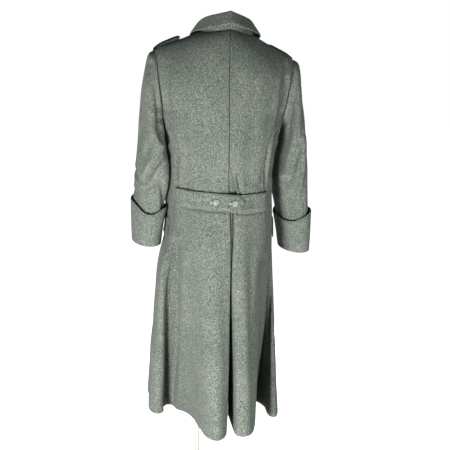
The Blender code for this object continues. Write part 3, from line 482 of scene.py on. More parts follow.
def side_pull(angle):
    """Shift that brings the side of the body to the armhole's lower edge."""
    loop = armhole_foot(angle)
    edge = np.clip(angle, SEAM_ANGLE, ARM_ANGLE)
    shift = loop - body_section(edge, loop[..., 2])
    shift[..., 2] = 0.0
    fade = np.where(angle < SEAM_ANGLE, angle / SEAM_ANGLE, (180.0 - angle) / (180.0 - ARM_ANGLE))
    return shift * (np.clip(fade, 0.0, 1.0) ** 3)[..., None]


def column_top(angle):
    """Height of the row that meets the armhole's lower edge."""
    return armhole_foot(angle)[..., 2]


def trunk(angle, height):
    """Right half of the body from the waist to the armhole's lower edge."""
    top = column_top(angle)
    point = body_section(angle, height)
    return point + side_pull(angle) * ease(1.0 - (top - height) / 0.11)[..., None]


def lean(points, whole):
    """Upright frame to the leaning figure; whole for sleeves, that drop all along."""
    points = np.array(points, float)
    share = 1.0 if whole else ease((points[..., 2] - WAIST_Z) / 0.20)
    x = points[..., 0].copy()
    points[..., 0] = x + track(LEAN, points[..., 2])[..., 0]
    points[..., 2] = points[..., 2] - SHOULDER_DROP * x * share
    return points


def yoke(part, level, front):
    """Right half above the arms; part 0 is the centre, 1 the armhole; level 1 is the shoulder line."""
    part = np.asarray(part, float)
    level = np.asarray(level, float)
    low = CHEST_Z if front else SEAM_TOP_Z
    first = 180.0 if front else 0.0
    last = ARM_ANGLE if front else SEAM_ANGLE
    shape = 1.17 if front else 0.83
    power = 1.25 if front else 1.0
    angle = first + (last - first) * part
    bottom = trunk(angle, low + 0.0 * part)
    start = trunk(np.array([first]), np.array([low]))[0]
    end = trunk(np.array([last]), np.array([low]))[0]
    s = np.sin(0.5 * math.pi * level)
    c = np.cos(0.5 * math.pi * level)
    centre = np.stack([0.0 * level, start[1] * c**shape, low + (RIDGE[0][1] - low) * s**shape], -1)
    turn = (CHEST_TURN if front else SEAM_TURN) * (1.0 - level) + (360.0 if front else 0.0) * level
    side = armhole(turn)
    reach = RIDGE[-1][0] * part**power
    top = np.stack([reach, 0.0 * reach, track(RIDGE, reach)[..., 0]], -1)
    tip = np.array([RIDGE[-1][0], 0.0, RIDGE[-1][1]])
    mid = np.array([0.0, 0.0, RIDGE[0][1]])
    f = ease(part)[..., None]
    h = ease(level)[..., None]
    corner = (1 - h) * ((1 - f) * start + f * end) + h * ((1 - f) * mid + f * tip)
    return (1 - f) * centre + f * side + (1 - h) * bottom + h * top - corner


def neck_levels(parts, front):
    """Levels where columns of the yoke meet the neck seam."""
    depth = NECK_FRONT if front else NECK_BACK
    low = np.full(len(parts), 0.05)
    high = np.ones(len(parts))
    for _ in range(30):
        mid = 0.5 * (low + high)
        point = yoke(parts, mid, front)
        outside = (point[:, 0] / NECK_HALF) ** 2 + (point[:, 1] / depth) ** 2 > 1.0
        low = np.where(outside, mid, low)
        high = np.where(outside, high, mid)
    open_side = yoke(parts, np.ones(len(parts)), front)[:, 0] >= NECK_HALF - 1e-6
    return np.where(open_side, 1.0, 0.5 * (low + high))


def columns(front):
    """Columns from the centre to the armhole, with the neck's corner among them."""
    power = 0.8 if front else 1.0
    steps = NECK_STEPS if front else BACK_STEPS
    neck = [NECK_HALF * math.sin(math.radians(a)) for a in steps]
    shoulder = [NECK_HALF + (RIDGE[-1][0] - NECK_HALF) * t for t in SHOULDER_STEPS]
    return np.array([(x / RIDGE[-1][0]) ** power for x in neck + shoulder])


def skirt(waist, plain, hem, height):
    """Flare from the waist to the fluted hem."""
    t = np.clip((WAIST_Z - height) / (WAIST_Z - HEM_Z), 0.0, 1.0)[..., None]
    flare = 1.0 - (1.0 - t) ** 1.7
    xy = waist + (plain - waist) * flare + (hem - plain) * t**1.25
    return np.concatenate([xy, height[..., None]], -1)


def lower(angle, hem, side, rows):
    """Grid below the arms; angle, plan of the hem and side of each column."""
    grid = np.zeros((len(angle), len(rows), 3))
    top = column_top(angle)
    mirror = np.stack([side, np.ones(len(side)), np.ones(len(side))], -1)
    waist = np.full(len(angle), WAIST_Z)
    low = lean(body_section(angle, waist) * mirror, False)
    low[:, 0] += np.minimum(slimmer(angle, waist, side), 0.0)
    px, py = oval(angle, *FLARE[1:])
    plain = np.stack([FLARE[0] + side * px, py], -1)
    for j, row in enumerate(rows):
        height = HEM_Z + (top - HEM_Z) * (row - HEM_Z) / (SEAM_TOP_Z - HEM_Z)
        above = lean(trunk(angle, height) * mirror, False)
        above[:, 0] += slimmer(angle, height, side)
        under = skirt(low[:, :2], plain, hem, height)
        under[:, 0] += np.maximum(slimmer(angle, height, side), 0.0)
        grid[:, j] = np.where((height >= WAIST_Z)[:, None], above, under)
    return grid


def upper(parts, side, front):
    """Grid above the arms, from the first row over the armhole's foot to the neck or shoulder."""
    rows = between(YOKE_ROWS, FINE)[1:]
    top = neck_levels(parts, front)
    grid = np.zeros((len(parts), len(rows), 3))
    for j, row in enumerate(rows):
        point = yoke(parts, top * row, front)
        point[:, 0] *= side
        grid[:, j] = lean(point, False)
    return grid


def back_grid(side):
    """Outer surface of one back panel without its pleat."""
    part = between(columns(False), ACROSS)
    hem = track(by_length(HEM_RIGHT if side > 0 else HEM_LEFT), part, True)
    low = lower(SEAM_ANGLE * part, hem, np.full(len(part), float(side)), LOW_ROWS)
    grid = np.concatenate([low, upper(part, np.full(len(part), float(side)), False)], axis=1)
    edge, gap, _depth, _drift = np.moveaxis(track(PLEAT, grid[0, :, 2]), -1, 0)
    target = edge + (gap if side > 0 else 0.0)
    near = np.clip(1.0 - part / 0.40, 0.0, 1.0) ** 2
    grid[:, :, 0] += near[:, None] * (target - grid[0, :, 0])[None, :]
    return grid


def add_folds(left, right):
    """Fold both back panels in: a shallow floor behind the belt, a deep pleat below it."""
    height = left[0, :, 2]
    _edge, gap, depth, drift = np.moveaxis(track(PLEAT, height), -1, 0)
    near, middle_deep, far = np.moveaxis(track(FLOOR, height), -1, 0)
    shallow = ease((height - 0.70) / 0.10)[:, None]
    deep = 0.5 * (left[0] + right[0])
    deep[:, 0] += drift
    deep[:, 1] += depth
    shares = np.array([1.0, 0.94, 0.88, 0.80, 0.72, 0.64, 0.56, 0.48, 0.42, 0.36, 0.30, 0.24, 0.16, 0.08])
    folded = []
    for grid, side in ((left, -1.0), (right, 1.0)):
        start = grid[0]
        if side < 0:
            path = [(at, away * gap, at * near) for at, away in ((0.0, 0.00), (0.5, 0.02), (1.0, 0.04))]
        else:
            path = [(0.0, 0.0 * gap, 0.0 * far), (0.30, -0.10 * gap, far),
                    (0.46, -0.30 * gap, 1.3 * middle_deep), (0.62, -0.52 * gap, middle_deep),
                    (0.80, -0.76 * gap, 1.2 * middle_deep), (1.0, -0.95 * gap, near)]
        keys = [stop[0] for stop in path]
        folds = []
        for s in shares:
            at = min(int(np.searchsorted(keys, s, side="right")) - 1, len(keys) - 2)
            t = (s - keys[at]) / (keys[at + 1] - keys[at])
            flat = start.copy()
            flat[:, 0] += path[at][1] * (1.0 - t) + path[at + 1][1] * t
            flat[:, 1] += path[at][2] * (1.0 - t) + path[at + 1][2] * t
            end = deep.copy()
            end[:, 0] += side * 0.0002
            below = start + (end - start) * s
            folds.append(below + (flat - below) * shallow)
        edge = len(folds)
        whole = np.concatenate([np.array(folds), grid], axis=0)
        low_part = ease((0.80 - height) / 0.15)
        reach, times, amount = (4, 2, 0.5 + 0.5 * low_part) if side < 0 else (8, 8, 0.04 + 0.96 * low_part)
        for _ in range(times):
            soft = evened(whole)
            low, high = edge - reach + 2, edge + reach
            whole[low:high] += (soft[low - 1:high - 1] - whole[low:high]) * amount[None, :, None]
        folded.append(whole)
    return folded[0], folded[1], edge


def front_grid():
    """Outer surface of both fronts in one ring, from the left side seam to the right one."""
    part = between(columns(True), ACROSS)
    under_steps = between(UNDERARM_STEPS + (1.0,), ACROSS)[:-1]
    under = SEAM_ANGLE + (ARM_ANGLE - SEAM_ANGLE) * under_steps
    half = np.concatenate([under, 180.0 + (ARM_ANGLE - 180.0) * part[::-1]])
    angle = np.concatenate([half, half[-2::-1]])
    side = np.concatenate([-np.ones(len(half)), np.ones(len(half) - 1)])
    share = np.where(side < 0, angle - SEAM_ANGLE, 360.0 - SEAM_ANGLE - angle) / (360.0 - 2 * SEAM_ANGLE)
    low = lower(angle, track(by_length(HEM_FRONT), share, True), side, LOW_ROWS)
    first = len(under)
    last = len(angle) - first
    parts = (180.0 - angle[first:last]) / (180.0 - ARM_ANGLE)
    above = upper(parts, side[first:last], True)
    high = np.full((len(angle), above.shape[1], 3), np.nan)
    high[first:last] = above
    return np.concatenate([low, high], axis=1), first, len(half) - 1


def sleeve_point(side, step, turn, grow=0.0):
    """Point of a sleeve ring; turn 0 is the outside, 90 the back."""
    ox, oz, ix, iz, mid, half, drop = np.moveaxis(track(SLEEVE, step), -1, 0)
    c = np.cos(np.radians(turn))
    s = np.sin(np.radians(turn))
    size = np.hypot(ox - ix, oz - iz)
    long_x = 0.5 * (ox - ix) * (1.0 + 2.0 * grow / size)
    long_z = 0.5 * (oz - iz) * (1.0 + 2.0 * grow / size)
    x = 0.5 * (ox + ix) + long_x * c
    y = mid - (half + grow) * s
    z = 0.5 * (oz + iz) + long_z * c - drop * s
    away = 0.0003 * ease(1.0 - np.asarray(step) / 0.05)
    swing = track(SWING, step)[..., (0, 2, 4) if side < 0 else (1, 3, 5)]
    x = (x + away - swing[..., 2] * s) * side + swing[..., 0]
    return lean(np.stack([x, y, z + swing[..., 1]], -1), True) + COAT


def sleeve_grid(side, top_piece):
    """Outer surface of the top or the under sleeve."""
    steps = np.concatenate([np.linspace(0.0, 0.12, 22)[:-1], np.linspace(0.12, 0.985, 150)])
    hind = track(HIND_SEAM, steps)[..., 0]
    start, end = (FORE_SEAM + 0.0 * hind, hind) if top_piece else (hind, FORE_SEAM + 360.0 + 0.0 * hind)
    shares = np.linspace(0.0, 1.0, 101 if top_piece else 71)
    return np.array([sleeve_point(side, steps, start + (end - start) * t) for t in shares])


def collar_grid():
    """Stand-and-fall collar from the foot of the stand over the roll to the fall's edge."""
    points = []
    for front, side in ((True, -1), (False, -1), (False, 1), (True, 1)):
        corner = len(NECK_STEPS if front else BACK_STEPS)
        part = between(columns(front)[:corner + 1], 4)
        if front:
            part = part[part > 0.006]
            part = np.concatenate([[0.006], part])
        parts = part[::-1] if front != (side < 0) else part
        level = neck_levels(parts, front)
        rows = yoke(parts, level, front) * np.array([side, 1, 1])
        for point in lean(rows, False):
            if not points or np.linalg.norm(point - points[-1]) > 0.001:
                points.append(point)
    neck = np.array(points)
    reach = reach_along(neck)
    even = np.linspace(0.0, 1.0, 121)
    neck = np.stack([np.interp(even, reach / reach[-1], neck[:, k]) for k in range(3)], -1)
    way = np.gradient(neck, axis=0)
    out = np.stack([way[:, 1], -way[:, 0], 0.0 * even], -1)
    out = out / np.linalg.norm(out, axis=1, keepdims=True)
    rise, roll, edge, low = np.moveaxis(track(COLLAR, np.abs(even - 0.5) * 2.0), -1, 0)
    profile = (
        (-WALL - 0.0008 + 0 * roll, -0.0045 + 0 * rise),
        (-WALL - 0.0002 + 0 * roll, 0.0005 + 0 * rise),
        (-WALL - 0.0045 + 0.3 * roll, 0.45 * rise),
        (-WALL - 0.0045 + 0.6 * roll, 0.80 * rise),
        (-0.0035 + roll, 0.95 * rise),
        (roll + 0.002, rise),
        (roll + 0.0075, 0.95 * rise),
        (roll + 0.50 * (edge - roll) + 0.003, low + 0.62 * (rise - low)),
        (roll + 0.80 * (edge - roll) + 0.0030, low + 0.30 * (rise - low)),
        (edge + 0.0040, low),
    )
    rough = np.zeros((len(even), len(profile), 3))
    for j, (away, height) in enumerate(profile):
        rough[:, j] = neck + out * away[:, None] + np.array([0.0, 0.0, 1.0]) * height[:, None]
    fine = between(np.arange(len(profile)), 6)
    grid = np.zeros((len(even), len(fine), 3))
    for i in range(len(even)):
        rows = np.column_stack([np.arange(len(profile)), rough[i]])
        grid[i] = track(rows, fine, True)
    return grid + COAT


def face_quads(grid):
    """Corner numbers of the whole quads of a grid."""
    m = grid.shape[1]
    known = ~np.isnan(grid[..., 0])
    whole = known[:-1, :-1] & known[1:, :-1] & known[1:, 1:] & known[:-1, 1:]
    i, j = np.nonzero(whole)
    return np.stack([i * m + j, (i + 1) * m + j, (i + 1) * m + j + 1, i * m + j + 1], -1)


def grid_normals(grid, flip, closed=False):
    """Unit normals of a grid."""
    flat = grid.reshape(-1, 3)
    quads = face_quads(grid)
    a, b, c, d = (flat[quads[:, k]] for k in range(4))
    normal = np.cross(c - a, d - b) * (-1.0 if flip else 1.0)
    total = np.zeros_like(flat)
    for k in range(4):
        np.add.at(total, quads[:, k], normal)
    total = total.reshape(grid.shape)
    if closed:
        total[0] += total[-1]
        total[-1] = total[0]
    return total / np.maximum(np.linalg.norm(total, axis=-1, keepdims=True), 1e-12)


def crease_depth(grid, normals, creases):
    """How far each point of a grid sinks into the creases near it."""
    depth = np.zeros(grid.shape[:2])
    strength = bpy.context.scene.greatcoat_sizes.creases
    for view, width, deep, course in creases:
        axis, look = VIEWS[view]
        spot = grid[..., (axis, 2)]
        facing = ease((np.nansum(normals * look, -1) - 0.05) / 0.35)
        course = np.array(course)
        start = reach_along(course)
        reach = np.linalg.norm(np.diff(course, axis=0), axis=1)
        best = np.full(depth.shape, 9.0)
        along = np.zeros(depth.shape)
        for k in range(len(reach)):
            way = course[k + 1] - course[k]
            t = np.clip(((spot - course[k]) @ way) / (way @ way), 0.0, 1.0)
            away = np.linalg.norm(spot - course[k] - t[..., None] * way, axis=-1)
            closer = away < best
            best = np.where(closer, away, best)
            along = np.where(closer, (start[k] + t * reach[k]) / start[-1], along)
        taper = 0.35 + 0.65 * np.sin(math.pi * np.clip(along * 0.86 + 0.07, 0.0, 1.0))
        across_it = best / width
        shape = np.exp(-across_it**2) - 0.30 * np.exp(-((across_it - 1.9) ** 2) / 0.8)
        depth += strength * deep * taper * shape * facing
    return depth


def unevenness(grid, size, height, seed):
    """Soft uneven hang of the cloth."""
    result = np.zeros(grid.shape[:2])
    for i in range(0, grid.shape[0]):
        for j in range(0, grid.shape[1]):
            x, y, z = grid[i, j]
            if x == x:
                result[i, j] = noise.noise(Vector((x / size + seed, y / size, z / (2.2 * size)))) * height
    return result


def add_lines(grid, axis, at, ahead):
    """Extra lines of points close to one line of a grid, so that its edge can be rolled."""
    grid = np.moveaxis(grid, axis, 0)
    other = at + (1 if ahead else -1)
    way = grid[other] - grid[at]
    size = np.linalg.norm(way, axis=-1, keepdims=True)
    lines = []
    for away in (0.0008, 0.0022):
        lines.append(grid[at] + way * np.minimum(away / np.maximum(size, 1e-9), 0.6 * away / 0.0022))
    place = at + 1 if ahead else at
    if not ahead:
        lines = lines[::-1]
    grid = np.concatenate([grid[:place], np.array(lines), grid[place:]], axis=0)
    return np.moveaxis(grid, 0, axis)


def edged(grid, *edges):
    """Grid with extra lines at some of its edges, each given as its axis and 0 or -1."""
    for axis, end in edges:
        grid = add_lines(grid, axis, 0 if end == 0 else grid.shape[axis] - 1, end == 0)
    return grid


def edge_points(grid, quads):
    """Points on the outline of a grid."""
    count = grid.shape[0] * grid.shape[1]
    first = quads.reshape(-1)
    second = np.roll(quads, -1, axis=1).reshape(-1)
    low = np.minimum(first, second)
    high = np.maximum(first, second)
    key, number = np.unique(low * count + high, return_counts=True)
    single = key[number == 1]
    return np.stack([single // count, single % count], -1)


def search_tree(points):
    """Balanced search tree of points."""
    tree = KDTree(len(points))
    for k, point in enumerate(points):
        tree.insert(point, k)
    tree.balance()
    return tree


def shell(name, grid, flip, material, slot, wall=WALL, free=(), roll=ROLL, closed=False, seams=None):
    """Thin closed piece of cloth from its outer grid; free edges are rolled, seams sink a little.

    free names the edges that aren't sewn to a neighbour: first, last, bottom, top.
    """
    n, m = grid.shape[:2]
    normals = grid_normals(grid, flip, closed)
    quads = face_quads(grid)
    if flip:
        quads = quads[:, ::-1]
    flat = grid.reshape(-1, 3)
    ends = edge_points(grid, quads)
    i, j = np.divmod(ends, m)
    if closed:
        ends = ends[~(((i == 0).all(1)) | ((i == n - 1).all(1)))]
        i, j = np.divmod(ends, m)
    loose = np.zeros(len(ends), bool)
    for word, hit in (("first", (i == 0).all(1)), ("last", (i == n - 1).all(1)),
                      ("bottom", (j == 0).all(1)), ("top", (j == m - 1).all(1))):
        if word in free:
            loose |= hit
    way = normals.reshape(-1, 3)
    if seams:
        tree, shared = seams
        for k in np.unique(ends[~loose]):
            _spot, number, away = tree.find(flat[k])
            if away < SEAM_REACH:
                way[k] = shared[number]
    outer_roll = np.zeros(n * m)
    inner_roll = np.zeros(n * m)
    for kind, far, deep in ((True, EDGE_REACH, roll), (False, SEAM_REACH, SEAM_SINK)):
        chosen = ends[loose == kind]
        if not len(chosen):
            continue
        samples = []
        for a, b in chosen:
            steps = max(1, int(np.linalg.norm(flat[a] - flat[b]) / EDGE_STEP))
            for k in range(steps + 1):
                samples.append(flat[a] + (flat[b] - flat[a]) * k / steps)
        tree = search_tree(samples)
        for k in np.unique(quads):
            away = tree.find(flat[k])[2]
            if away < far:
                t = 1.0 - away / far
                amount = deep * (1.0 - math.sqrt(max(0.0, 1.0 - t * t)))
                outer_roll[k] = max(outer_roll[k], amount)
                if kind:
                    inner_roll[k] = max(inner_roll[k], amount)
    outer = flat - way * outer_roll[:, None]
    inner = flat - way * (wall - inner_roll)[:, None]
    if closed:
        join = np.arange(n * m)
        join[(n - 1) * m:] = np.arange(m)
        quads = join[quads]
        ends = join[ends]
    used = np.unique(quads)
    number = np.full(n * m, -1)
    number[used] = np.arange(len(used))
    quads = number[quads]
    total = len(used)
    edges = set()
    for a, b in zip(quads.reshape(-1), np.roll(quads, -1, axis=1).reshape(-1)):
        edges.add((a, b))
    rims = [(b, a, a + total, b + total) for a, b in edges if (b, a) not in edges]
    faces = quads.tolist() + (quads[:, ::-1] + total).tolist() + rims
    verts = np.concatenate([outer[used], inner[used]])
    return add_mesh(name, verts, faces, material)


def add_mesh(name, verts, faces, material, smooth=True):
    """One piece of the part, riding on its only body."""
    mesh = bpy.data.meshes.new(name)
    mesh.from_pydata([tuple(v) for v in verts], [], faces)
    mesh.validate()
    if smooth:
        mesh.polygons.foreach_set("use_smooth", [True] * len(mesh.polygons))
    mesh.materials.append(material)
    piece = bpy.data.objects.new(name, mesh)
    bpy.context.scene.collection.objects.link(piece)
    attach(piece, "root")
    return piece


def cloth(name, node, grid, flip, flat, held, rests_on, finish="wool", slot="wool", **edges):
    """Cloth piece in place of its node; its cut is not used."""
    piece = shell(name, grid, flip, finish_of(finish), slot, **edges)
    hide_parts(node)


def across(strip, at, value, axis):
    """Point of a strip at a column, which may fall between two, where an axis has a value."""
    a = min(int(at), strip.shape[0] - 2)
    pair = []
    for column in (strip[a], strip[a + 1]):
        column = column[np.argsort(column[:, axis])]
        pair.append(point_at(value, column[:, axis], column))
    return pair[0] + (pair[1] - pair[0]) * (at - a)


def soften(grid, times):
    """Even out a small grid."""
    for _ in range(times):
        for axis in (0, 1):
            lines = np.moveaxis(grid, axis, 0).copy()
            lines[1:-1] = evened(lines)
            grid = np.moveaxis(lines, 0, axis)
    return grid


def laid_over(strip, columns, values, axis):
    """Grid over a strip: one row of values on an axis for each column."""
    return np.array([[across(strip, c, v, axis) for v in row] for c, row in zip(columns, values)])


SURFACES = {}


def columns_to_arm(column, count):
    """Columns from each column of a back panel to its armhole; far for those outside the panel."""
    return np.where(column < count, np.abs(column - count + 1), 99)


def surfaces():
    """Outer grids of the body, with their creases, made once from one whole ring."""
    if SURFACES:
        return SURFACES
    left, right, edge = add_folds(back_grid(-1) + COAT, back_grid(1) + COAT)
    ring, first, middle = front_grid()
    ring = ring + COAT
    whole = np.concatenate([left, ring[1:-1], right[::-1]])
    normals = grid_normals(whole, True)
    sink = crease_depth(whole, normals, BODY_CREASES) + unevenness(whole, 0.055, 0.0018, 3.0)
    straight = crease_depth(whole, normals, BODY_VALLEYS)
    count = len(left)
    column = np.arange(len(whole))
    calm = ease((np.minimum(column, column[::-1]) - edge) / 12.0)[:, None]
    top = whole.shape[1] - 1 - np.arange(whole.shape[1])
    calm = calm * ease(top / 10.0)[None, :]
    rows = len(LOW_ROWS)
    seam = np.minimum(np.abs(column - count + 1), np.abs(column[::-1] - len(right) + 1))
    seam = np.where((column < count) | (column[::-1] < len(right)), 0, seam)
    under = (seam[:, None] > 0) & (seam[:, None] < first + 2)
    below = ease((rows - 1 - np.arange(whole.shape[1])) / 10.0)[None, :]
    calm = np.where(under, np.minimum(calm, below), calm)
    side = np.minimum(columns_to_arm(column, count), columns_to_arm(column[::-1], len(right)))[:, None]
    above = np.arange(whole.shape[1])[None, :] > rows - 12
    calm = np.where(above, calm * ease(side / 6.0), calm)
    front_arm = np.minimum(np.abs(column - (count - 1 + first)),
                           np.abs(column[::-1] - (len(right) - 1 + first)))
    calm = np.where(above, calm * ease(front_arm / 6.0)[:, None], calm)
    moved = whole - normals * (sink * calm)[..., None]
    moved[..., 1] += straight * calm
    normals = grid_normals(moved, True)
    SURFACES["left"] = moved[:count]
    SURFACES["ring"] = moved[count - 1:count - 1 + len(ring)]
    SURFACES["right"] = moved[count + len(ring) - 2:][::-1]
    SURFACES["edge"] = edge
    SURFACES["first"] = first
    SURFACES["middle"] = middle
    SURFACES["seams"] = seam_tree(
        [(moved[count - 1, :rows], normals[count - 1, :rows]),
         (moved[count + len(ring) - 2, :rows], normals[count + len(ring) - 2, :rows]),
         (moved[0], 0.5 * (normals[0] + normals[-1])),
         (moved[-1], 0.5 * (normals[0] + normals[-1]))])
    return SURFACES


def seam_tree(lines):
    """Search tree of the points on a seam, with the normals that both sides share."""
    points = np.concatenate([line[0] for line in lines])
    ways = np.concatenate([line[1] for line in lines])
    return search_tree(points), ways / np.maximum(np.linalg.norm(ways, axis=1, keepdims=True), 1e-9)


# Dark and light fibres of the wool against its tint
WOOL_DARK = (0.14, 0.22, 0.24)
WOOL_LIGHT = (3.05, 2.62, 2.60)


def wool(name, tint, coarse=1.0):
    """Heathered milled wool: light and dark fibres, broad patches of tone and a soft nap."""
    material, nodes, links, shader = new_material(name)
    shader.inputs["Roughness"].default_value = 0.95
    shader.inputs["Specular IOR Level"].default_value = 0.18
    shader.inputs["Sheen Weight"].default_value = 0.06
    shader.inputs["Sheen Roughness"].default_value = 0.55
    place = nodes.new("ShaderNodeTexCoord")
    stretch = nodes.new("ShaderNodeMapping")
    stretch.inputs["Scale"].default_value = (1.0, 1.0, 0.85)
    links.new(place.outputs["Object"], stretch.inputs["Vector"])
    flock = add_noise(nodes, links, stretch.outputs[0], 300.0 * coarse, 3.0, 0.66)
    fibre = add_noise(nodes, links, stretch.outputs[0], 900.0 * coarse, 2.0, 0.6)
    cloud = add_noise(nodes, links, place.outputs["Object"], 9.0, 2.0, 0.5)
    both = nodes.new("ShaderNodeMix")
    both.data_type = "FLOAT"
    both.inputs[0].default_value = 0.42
    links.new(flock, both.inputs[2])
    links.new(fibre, both.inputs[3])
    dark, light = (tuple(c * t for c, t in zip(share, tint)) for share in (WOOL_DARK, WOOL_LIGHT))
    ramp = add_ramp(nodes, links, both.outputs[0], (0.36, dark), (0.66, light))
    middle = ramp.color_ramp.elements.new(0.50)
    middle.color = (*tint, 1.0)
    worn = nodes.new("ShaderNodeMix")
    worn.data_type = "RGBA"
    worn.blend_type = "MULTIPLY"
    worn.inputs[0].default_value = 1.0
    tone = add_ramp(nodes, links, cloud, (0.30, (0.86, 0.89, 0.87)), (0.70, (1.10, 1.08, 1.09)))
    links.new(ramp.outputs[0], worn.inputs[6])
    links.new(tone.outputs[0], worn.inputs[7])
    links.new(worn.outputs[2], shader.inputs["Base Color"])
    add_bump(nodes, links, shader, both.outputs[0], 0.55, 0.0009)
    return material


def shade(colour, amount):
    """Colour made lighter or darker."""
    return tuple(min(1.0, c * amount) for c in colour)


def new_material(name):
    """Material with a bare Principled shader."""
    material = bpy.data.materials.new(name)
    material.use_nodes = True
    nodes = material.node_tree.nodes
    links = material.node_tree.links
    return material, nodes, links, nodes["Principled BSDF"]


def add_noise(nodes, links, vector, scale, detail, rough):
    """Noise texture; returns its value."""
    node = nodes.new("ShaderNodeTexNoise")
    node.inputs["Scale"].default_value = scale
    node.inputs["Detail"].default_value = detail
    node.inputs["Roughness"].default_value = rough
    links.new(vector, node.inputs["Vector"])
    return node.outputs[0]


def add_ramp(nodes, links, value, *stops):
    """Colour ramp between two stops, each a position and a colour."""
    ramp = nodes.new("ShaderNodeValToRGB")
    for element, (position, colour) in zip(ramp.color_ramp.elements, stops):
        element.position = position
        element.color = (*colour, 1.0)
    links.new(value, ramp.inputs[0])
    return ramp


def add_bump(nodes, links, shader, height, strength, distance):
    """Bump from a height."""
    bump = nodes.new("ShaderNodeBump")
    bump.inputs["Strength"].default_value = strength
    bump.inputs["Distance"].default_value = distance
    links.new(height, bump.inputs["Height"])
    links.new(bump.outputs[0], shader.inputs["Normal"])


def plain_finish(name, low, high, scale, rough, metal=0.0, bump=0.0, detail=3.0):
    """Finish with fine variation between two colours."""
    material, nodes, links, shader = new_material(name)
    shader.inputs["Roughness"].default_value = rough
    shader.inputs["Metallic"].default_value = metal
    place = nodes.new("ShaderNodeTexCoord")
    value = add_noise(nodes, links, place.outputs["Object"], scale, detail, 0.6)
    ramp = add_ramp(nodes, links, value, (0.35, low), (0.65, high))
    links.new(ramp.outputs[0], shader.inputs["Base Color"])
    if bump:
        add_bump(nodes, links, shader, value, 0.6, bump)
    return material


def linen_finish(name, colour):
    """Plain-woven linen cover of the dress form."""
    material, nodes, links, shader = new_material(name)
    shader.inputs["Roughness"].default_value = 0.85
    place = nodes.new("ShaderNodeTexCoord")
    waves = []
    for axis in ("Z", "X"):
        wave = nodes.new("ShaderNodeTexWave")
        wave.bands_direction = axis
        wave.inputs["Scale"].default_value = 180.0
        wave.inputs["Distortion"].default_value = 1.2
        wave.inputs["Detail"].default_value = 2.0
        links.new(place.outputs["Object"], wave.inputs["Vector"])
        waves.append(wave.outputs["Fac"])
    weave = nodes.new("ShaderNodeMath")
    weave.operation = "MULTIPLY"
    links.new(waves[0], weave.inputs[0])
    links.new(waves[1], weave.inputs[1])
    ramp = add_ramp(nodes, links, weave.outputs[0], (0.0, shade(colour, 0.78)), (1.0, shade(colour, 1.06)))
    links.new(ramp.outputs[0], shader.inputs["Base Color"])
    add_bump(nodes, links, shader, weave.outputs[0], 0.5, 0.0004)
    return material


MATERIALS = {}


def finish_of(key):
    """Materials of the part, made once from the colours in the panel."""
    if not MATERIALS:
        colours = bpy.context.scene.greatcoat_colours
        # Strap cloth: dark badge cloth made darker still, as painted shade for the shade on the straps' curled
        # edges
        dark = tuple(colours.strap)
        MATERIALS["wool"] = wool("wool_field_grey", tuple(colours.wool))
        MATERIALS["strap"] = wool("badge_cloth_green_with_painted_shade", dark, 1.4)
        MATERIALS["thread"] = plain_finish("thread_grey_green", shade(colours.wool, 0.45),
                                           shade(colours.wool, 0.8), 1500.0, 0.7)
        MATERIALS["tack"] = plain_finish("thread_pale", (0.45, 0.47, 0.43), (0.62, 0.63, 0.58), 1500.0, 0.7)
        MATERIALS["button"] = plain_finish("button_pebbled", shade(colours.button, 0.7),
                                           shade(colours.button, 1.25), 900.0, 0.42, 0.35, 0.0004)
        MATERIALS["form"] = linen_finish("form_linen_cover", tuple(colours.form))
        MATERIALS["stand"] = plain_finish("stand_cream_paint", shade(colours.stand, 0.93),
                                          shade(colours.stand, 1.04), 60.0, 0.38, 0.0, 0.0001)
    return MATERIALS[key]


def build_backs():
    """Two back panels that meet in the centre seam and the pleat."""
    body = surfaces()
    for side, word in SIDES:
        grid = edged(body[word], (0, -1), (1, -1), (1, 0))
        cloth("back_cloth_" + word, "back_" + word, grid, side < 0, (0.46, 1.26), "hung", ["form_cover"],
              free=("bottom",), seams=body["seams"])


def front_part(over):
    """Grid of the overlapping left front or of the right front under it."""
    body = surfaces()
    ring = body["ring"]
    lap = body["middle"] + LAP_COLUMNS
    back_lap = body["middle"] - LAP_COLUMNS
    if over:
        return ring[:lap + 1]
    normals = grid_normals(ring, True)
    sunk = np.interp(np.arange(ring.shape[0]), (0, lap, lap + ACROSS, lap + 2 * ACROSS, lap + 3 * ACROSS),
                     (1.0, 1.0, 0.55, 0.12, 0.0))
    return (ring - normals * (FRONT_STEP * sunk)[:, None, None])[back_lap:]


def build_fronts():
    """Two fronts; the left one laps over the right one."""
    body = surfaces()
    count = len(LOW_ROWS) - 1
    for over, word in ((True, "left"), (False, "right")):
        grid = front_part(over)
        first = body["first"] if over else grid.shape[0] - 1 - body["first"]
        grid = edged(grid, (1, -1))
        grid = add_lines(grid, 1, count, False)
        grid = edged(grid, (1, 0), (0, -1))
        grid = add_lines(grid, 0, first, over)
        grid = edged(grid, (0, 0))
        free = ("bottom", "last") if over else ("bottom", "first")
        cloth("front_cloth_" + word, "front_" + word, grid, True, (0.62, 1.25), "hung", ["form_cover"],
              free=free, seams=body["seams"])


def build_sleeves():
    """Top and under sleeves with the creases at the elbow and under the arm."""
    for side, word in SIDES:
        for top_piece, kind in ((True, "top"), (False, "under")):
            grid = sleeve_grid(side, top_piece)
            flip = side < 0
            normals = grid_normals(grid, flip)
            sink = crease_depth(grid, normals, SLEEVE_CREASES) + unevenness(grid, 0.045, 0.0016, 7.0)
            steps = np.arange(grid.shape[1])
            calm = ease(steps / 16.0) * ease((grid.shape[1] - 1 - steps) / 26.0)
            grid = grid - normals * (sink * calm[None, :])[..., None]
            grid = edged(grid, (0, -1), (0, 0), (1, 0))
            flat = (0.36, 0.63) if top_piece else (0.26, 0.56)
            cloth("sleeve_cloth_%s_%s" % (word, kind), "sleeve_%s_%s" % (word, kind), grid, flip, flat,
                  "hung", ["form_cover"], free=("top",))


